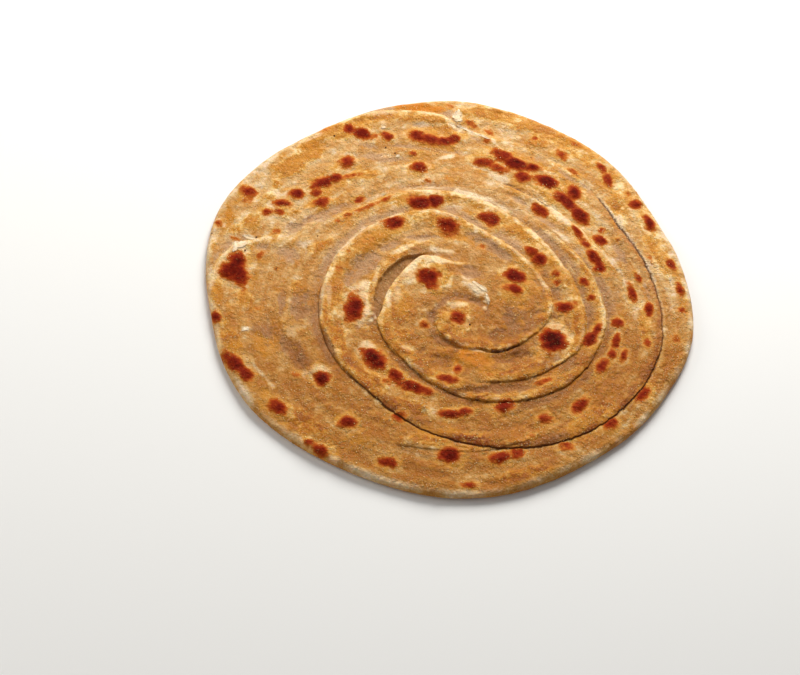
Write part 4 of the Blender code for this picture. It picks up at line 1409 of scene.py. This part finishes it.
# %% Details over the crust
def add_details(tree, colour, coords, grain, marks, blistered):
    """Lays pits, bran, toasted spots, grains with partly painted glints, the gap's floor and the painted
    shade of the cracks over the crust.
    """
    colour = mix_colour(tree, scaled(tree, grain.outputs["Pits"], 0.10), colour, PIT, "MULTIPLY")
    colour = mix_colour(tree, scaled(tree, grain.outputs["Specks"], 0.7), colour, BRAN)
    given = {"Colour": colour, "Vector": coords, "Char": marks["char"]}
    toasted = use_group(tree, pan_toasting, given)
    burnt = toasted.outputs["Burnt"]
    # pale grains of semolina, partly painted glints: strong on puffed places, faint on burnt ones
    grains = scaled(tree, grain.outputs["Grains"], remap(tree, blistered, 0.0, 1.0, 0.55, 0.90))
    grains = scaled(tree, grains, remap(tree, burnt, 0.1, 0.6, 1.0, 0.22))
    colour = mix_colour(tree, grains, toasted.outputs["Colour"], PALE_GRAIN_AND_GLINT, "SCREEN")
    colour = mix_colour(tree, scaled(tree, marks["gap"], 0.85), colour, GAP_FLOOR)
    # painted shade: cracks and creases darkened where shade falls in them
    crack = weighed(tree, marks["crack"], (grain.outputs["Fine"], 0.30))
    return tinted(tree, colour, crack, (0.18, 0.75), 0.9, CRACK_SHADE), burnt


print("toasted spots, grains and cracks come on top")


# %% Dough material
def dough_material():
    material, tree, shader, coords = new_material("fried dough")
    marks = {name: attribute(tree, name) for name in top_marks}
    given = {"Vector": coords, "Coil": attribute(tree, "coil", "Vector")}
    grain = use_group(tree, crumb_grain, given)
    colour, blistered = crust_colour(tree, grain, marks)
    colour, burnt = add_details(tree, colour, coords, grain, marks, blistered)
    wet = remap(tree, grain.outputs["Patchy"], -0.6, 0.6, 0.62, 0.42)
    feed(tree, shader, {
        "Base Color": colour,
        "Metallic": 0.0,
        "Roughness": combine(tree, "ADD", wet, scaled(tree, burnt, 0.4)),
        "IOR": 1.36,
        "Specular IOR Level": 0.08,
        "Coat Weight": remap(tree, burnt, 0.05, 0.35, 0.38, 0.0),
        "Coat Roughness": 0.16,
        "Coat IOR": 1.4,
        "Subsurface Weight": 0.25,
        "Subsurface Radius": (1.0, 0.4, 0.15),
        "Subsurface Scale": 0.0010,
    })
    add_bump(tree, shader, grain.outputs["Height"], 0.85 * MM)
    drops = add_noise(tree, coords, 1000.0, 2.0, 0.5)
    oil = weighed(tree, add_noise(tree, coords, 1900.0, 1.0, 0.5), (drops, 0.8))
    add_bump(tree, shader, oil, 0.70 * MM, "Coat Normal")
    return material


dough.data.materials.append(dough_material())
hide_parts("paratha")
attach(dough, "root")
print("the dough has its material and stands for the plain solid")

# %% [markdown]
# ## Torn flakes
# In a few places the thin outer skin has torn and lifted, and the dry flakes are
# almost white. A flake could be painted on, but a lifted edge casts a shadow, so
# each one is a small sheet: a grid is bent and its outline pulled in unevenly,
# and a Solidify modifier gives it thickness. Each flake is pressed onto the
# dough's own height below it, and all of them are joined into one piece.

# %% Places of the flakes
FLAKES = [
    # x, y, long, wide in mm, tilt in degrees, curl in mm
    (-70.0, 7.2, 4.4, 2.8, 25, 0.30), (-67.4, 10.8, 4.0, 1.4, -12, 0.20),
    (-71.4, 4.8, 2.2, 1.2, 60, 0.15), (-2.6, 73.8, 4.4, 2.6, 80, 0.30), (-2.0, 71.4, 2.6, 1.4, 20, 0.2),
    (10.0, -0.2, 5.6, 1.3, -34, 0.25), (12.9, -4.6, 4.2, 0.8, -70, 0.20),
    (8.4, -1.8, 3.4, 0.9, -30, 0.12), (-64.0, -26.6, 2.4, 1.2, 30, 0.15), (0.6, 68.0, 6.0, 0.8, -28, 0.2),
    (6.6, 65.2, 5.0, 0.7, -24, 0.2), (-21.6, 52.2, 1.3, 0.9, 0, 0.12), (-27.6, 64.2, 1.3, 0.8, 30, 0.12),
]
print(len(FLAKES), "flakes of torn skin")


# %% The dough's height below a piece
def dough_tree(piece):
    """The dough's faces, sorted so that the height below a point is found quickly."""
    count = len(piece.data.vertices)
    places = np.zeros(count * 3)
    piece.data.vertices.foreach_get("co", places)
    faces = [tuple(face.vertices) for face in piece.data.polygons]
    return BVHTree.FromPolygons([Vector(place) for place in places.reshape(-1, 3)], faces)


def height_below(dough_top, x, y):
    """The dough's height in metres at a place, or None beside the bread."""
    hit = dough_top.ray_cast(Vector((x, y, 0.05)), Vector((0, 0, -1)))
    return hit[0].z if hit[0] is not None else None


dough_top = dough_tree(dough)
middle_height = height_below(dough_top, 0.0, 0.0) / MM
print("in the middle the dough is", round(middle_height, 2), "mm high")

# %% Making a flake
FLAKE_THICKNESS = 0.12 * MM
FLAKE_LIFT = 0.07
FLAKE_WAVE = 0.08
FLAKE_TEAR = 0.42
LID = cad_high[2] - 0.02 * MM  # the solid's box top, less a little; the flakes and crumbs are kept under it


def add_flake(dough_top, number, x, y, long, wide, tilt, curl):
    """A torn flake, bent over the dough below it."""
    select_only()
    bpy.ops.mesh.primitive_grid_add(x_subdivisions=14, y_subdivisions=8, size=2.0)
    flake = bpy.context.object
    turn = math.radians(tilt)
    for vertex in flake.data.vertices:
        u, v = vertex.co.x, vertex.co.y
        squeeze = math.sqrt(max(0.0, 1 - 0.45 * v * v)), math.sqrt(max(0.0, 1 - 0.45 * u * u))
        torn = float(noise(math.atan2(v, u) * 4.3, number + 0.5, 121))
        torn = 1 + FLAKE_TEAR * torn * max(abs(u), abs(v))
        a, b = u * squeeze[0] * torn * long / 2, v * squeeze[1] * torn * wide / 2
        px = (x - MIDDLE[0] + a * math.cos(turn) - b * math.sin(turn)) * MM
        py = (y - MIDDLE[1] + a * math.sin(turn) + b * math.cos(turn)) * MM
        below = height_below(dough_top, px, py)
        wave = FLAKE_WAVE * float(noise(a * 2.0, b * 2.0, 122 + number))
        lift = (FLAKE_LIFT + curl * max(0.0, v) ** 2 + wave) * MM
        base = below if below is not None else 0.0
        vertex.co = (px, py, min(base + lift, LID - FLAKE_THICKNESS))
    thick = flake.modifiers.new("thickness", "SOLIDIFY")
    thick.thickness = FLAKE_THICKNESS
    thick.offset = 0.0
    bpy.ops.object.modifier_apply(modifier=thick.name)
    return flake


def join_pieces(pieces, name):
    """Joins meshes into one piece."""
    select_only(*pieces)
    bpy.ops.object.join()
    joined = bpy.context.object
    joined.name = joined.data.name = name
    return joined


sheets = [add_flake(dough_top, number, *flake) for number, flake in enumerate(FLAKES)]
flakes = join_pieces(sheets, "paratha_flakes")
close_and_smooth(flakes)
print("flakes:", len(flakes.data.polygons), "faces")

# %% Dry crumb material
DRY_LIGHT, DRY_DARK = (0.90, 0.74, 0.53, 1), (0.80, 0.58, 0.34, 1)


def crumb_material(name, light, dark, roughness):
    """A dry, matt crumb whose colour wanders between two shades."""
    material, tree, shader, coords = new_material(name)
    grain = use_group(tree, crumb_grain, {"Vector": coords, "Coil": coords})
    uneven = remap(tree, add_noise(tree, coords, 700.0, 2.0), 0.35, 0.65)
    colour = mix_colour(tree, uneven, light, dark)
    feed(tree, shader, {"Base Color": colour, "Roughness": roughness, "Specular IOR Level": 0.2})
    add_bump(tree, shader, grain.outputs["Height"], 0.3 * MM)
    return material


flakes.data.materials.append(crumb_material("dry skin", DRY_LIGHT, DRY_DARK, 0.7))
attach(flakes, "root")
print("the flakes wear", flakes.data.materials[0].name)

# %% [markdown]
# ## Crumbs of semolina and bran
# A griddle bread is rolled out in coarse flour, and the grains stay on the crust
# as tiny pale beads, more in some places than in others. Bran leaves a few dark
# specks. Particles would have to be turned into mesh anyway, so one rough bead
# is made and copied, with its own turn and size each time, into a single mesh.

# %% Where the crumbs lie
CRUMBS = 3000
CRUMB_SIZES = (0.10, 0.21)
CRUMB_REACH = 78.5
TRIES = 6  # places thrown for each crumb that is wanted
DARK_SPECKS = [
    (-65.1, 11.1, 0.40), (-68.1, 5.0, 0.34), (7.8, -15.8, 0.42), (-44, 58.3, 0.40), (-26, 55.6, 0.30),
    (-22.6, 53.3, 0.30), (-80, 11.4, 0.36), (-45, 14, 0.28), (-57, -1.2, 0.26), (24, 57.5, 0.28),
]
MORE_SPECKS = 60
SPECK_SIZES = (0.10, 0.20)


def crumb_places(count, sizes, seed):
    """Places and sizes of crumbs, crowded in patches and seldom on the burnt spots."""
    chance = np.random.default_rng(seed)
    turn = chance.uniform(0, 2 * math.pi, TRIES * count)
    far = CRUMB_REACH * np.sqrt(chance.random(TRIES * count))
    x, y = far * np.cos(turn), far * np.sin(turn)
    crowd = 0.45 + 0.9 * noise(x / 6.0, y / 6.0, 131) + 0.5 * noise(x / 2.0, y / 2.0, 132)
    burnt = paint_patches(x, y, SPOTS, 0.25, 1.3, np.zeros_like(x))
    kept = np.flatnonzero(chance.random(TRIES * count) < crowd - 1.1 * burnt)[:count]
    return [(x[k], y[k], chance.uniform(*sizes)) for k in kept]


semolina_places = crumb_places(CRUMBS, CRUMB_SIZES, 7)
bran_places = DARK_SPECKS + crumb_places(MORE_SPECKS, SPECK_SIZES, 9)
print(len(semolina_places), "grains of semolina and", len(bran_places), "specks of bran")

# %% Scatter the crumbs
BEAD_RISE = 0.15
SEMOLINA_LIGHT, SEMOLINA_DARK = (0.93, 0.71, 0.38, 1), (0.72, 0.44, 0.15, 1)
BRAN_LIGHT, BRAN_DARK = (0.16, 0.06, 0.02, 1), (0.07, 0.025, 0.01, 1)


def make_bead():
    """One rough bead, as places round the origin and faces."""
    select_only()
    bpy.ops.mesh.primitive_ico_sphere_add(subdivisions=1, radius=1.0)
    bead = bpy.context.object
    places = np.array([vertex.co[:] for vertex in bead.data.vertices])
    faces = np.array([face.vertices[:] for face in bead.data.polygons])
    bpy.ops.object.delete()
    return places, faces


def scatter_beads(name, dough_top, places, seed):
    """A mesh of beads, each sunk into the dough nearly to its middle."""
    chance = np.random.default_rng(seed)
    bead, faces = make_bead()
    all_places, all_faces = [], []
    for x, y, size in places:
        px, py = (x - MIDDLE[0]) * MM, (y - MIDDLE[1]) * MM
        below = height_below(dough_top, px, py)
        if below is None or below + size * MM > LID:
            continue
        turn = chance.uniform(0, 2 * math.pi)
        stretch = chance.uniform(0.75, 1.25, 3)
        shaped = bead * stretch * (1 + chance.uniform(-0.15, 0.15, (len(bead), 1)))
        cos, sin = math.cos(turn), math.sin(turn)
        shaped = np.stack([shaped[:, 0] * cos - shaped[:, 1] * sin,
                           shaped[:, 0] * sin + shaped[:, 1] * cos, shaped[:, 2]], axis=1)
        all_faces.append(faces + len(all_places) * len(bead))
        all_places.append(shaped * size * MM + (px, py, below + BEAD_RISE * size * MM))
    mesh = bpy.data.meshes.new(name)
    mesh.from_pydata(np.concatenate(all_places).tolist(), [], np.concatenate(all_faces).tolist())
    piece = bpy.data.objects.new(name, mesh)
    bpy.context.scene.collection.objects.link(piece)
    select_only(piece)
    bpy.ops.object.shade_smooth()
    return piece


crumbs = scatter_beads("paratha_crumbs", dough_top, semolina_places, 8)
crumbs.data.materials.append(crumb_material("semolina", SEMOLINA_LIGHT, SEMOLINA_DARK, 0.5))
bran = scatter_beads("paratha_bran", dough_top, bran_places, 10)
bran.data.materials.append(crumb_material("bran", BRAN_LIGHT, BRAN_DARK, 0.6))
for piece in (crumbs, bran):
    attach(piece, "root")
print("crumbs:", len(crumbs.data.polygons), "faces; bran:", len(bran.data.polygons), "faces")

# %% [markdown]
# ## The floor
# A plain pale surface catches the bread's soft shadow. It is part of the stage
# and not of the object.

# %% Floor
FLOOR_SIZE = 6.0
FLOOR_DROP = 0.05 * MM
FLOOR_COLOUR = (0.86, 0.86, 0.85, 1)


def add_floor():
    select_only()
    bpy.ops.mesh.primitive_plane_add(size=FLOOR_SIZE, location=(0, 0, -FLOOR_DROP))
    floor = bpy.context.object
    floor.name = floor.data.name = "floor"
    material = bpy.data.materials.new("pale table")
    material.use_nodes = True
    shader = material.node_tree.nodes["Principled BSDF"]
    feed(material.node_tree, shader, {"Base Color": FLOOR_COLOUR, "Roughness": 0.75})
    floor.data.materials.append(material)
    return floor


add_floor()
print("floor laid")
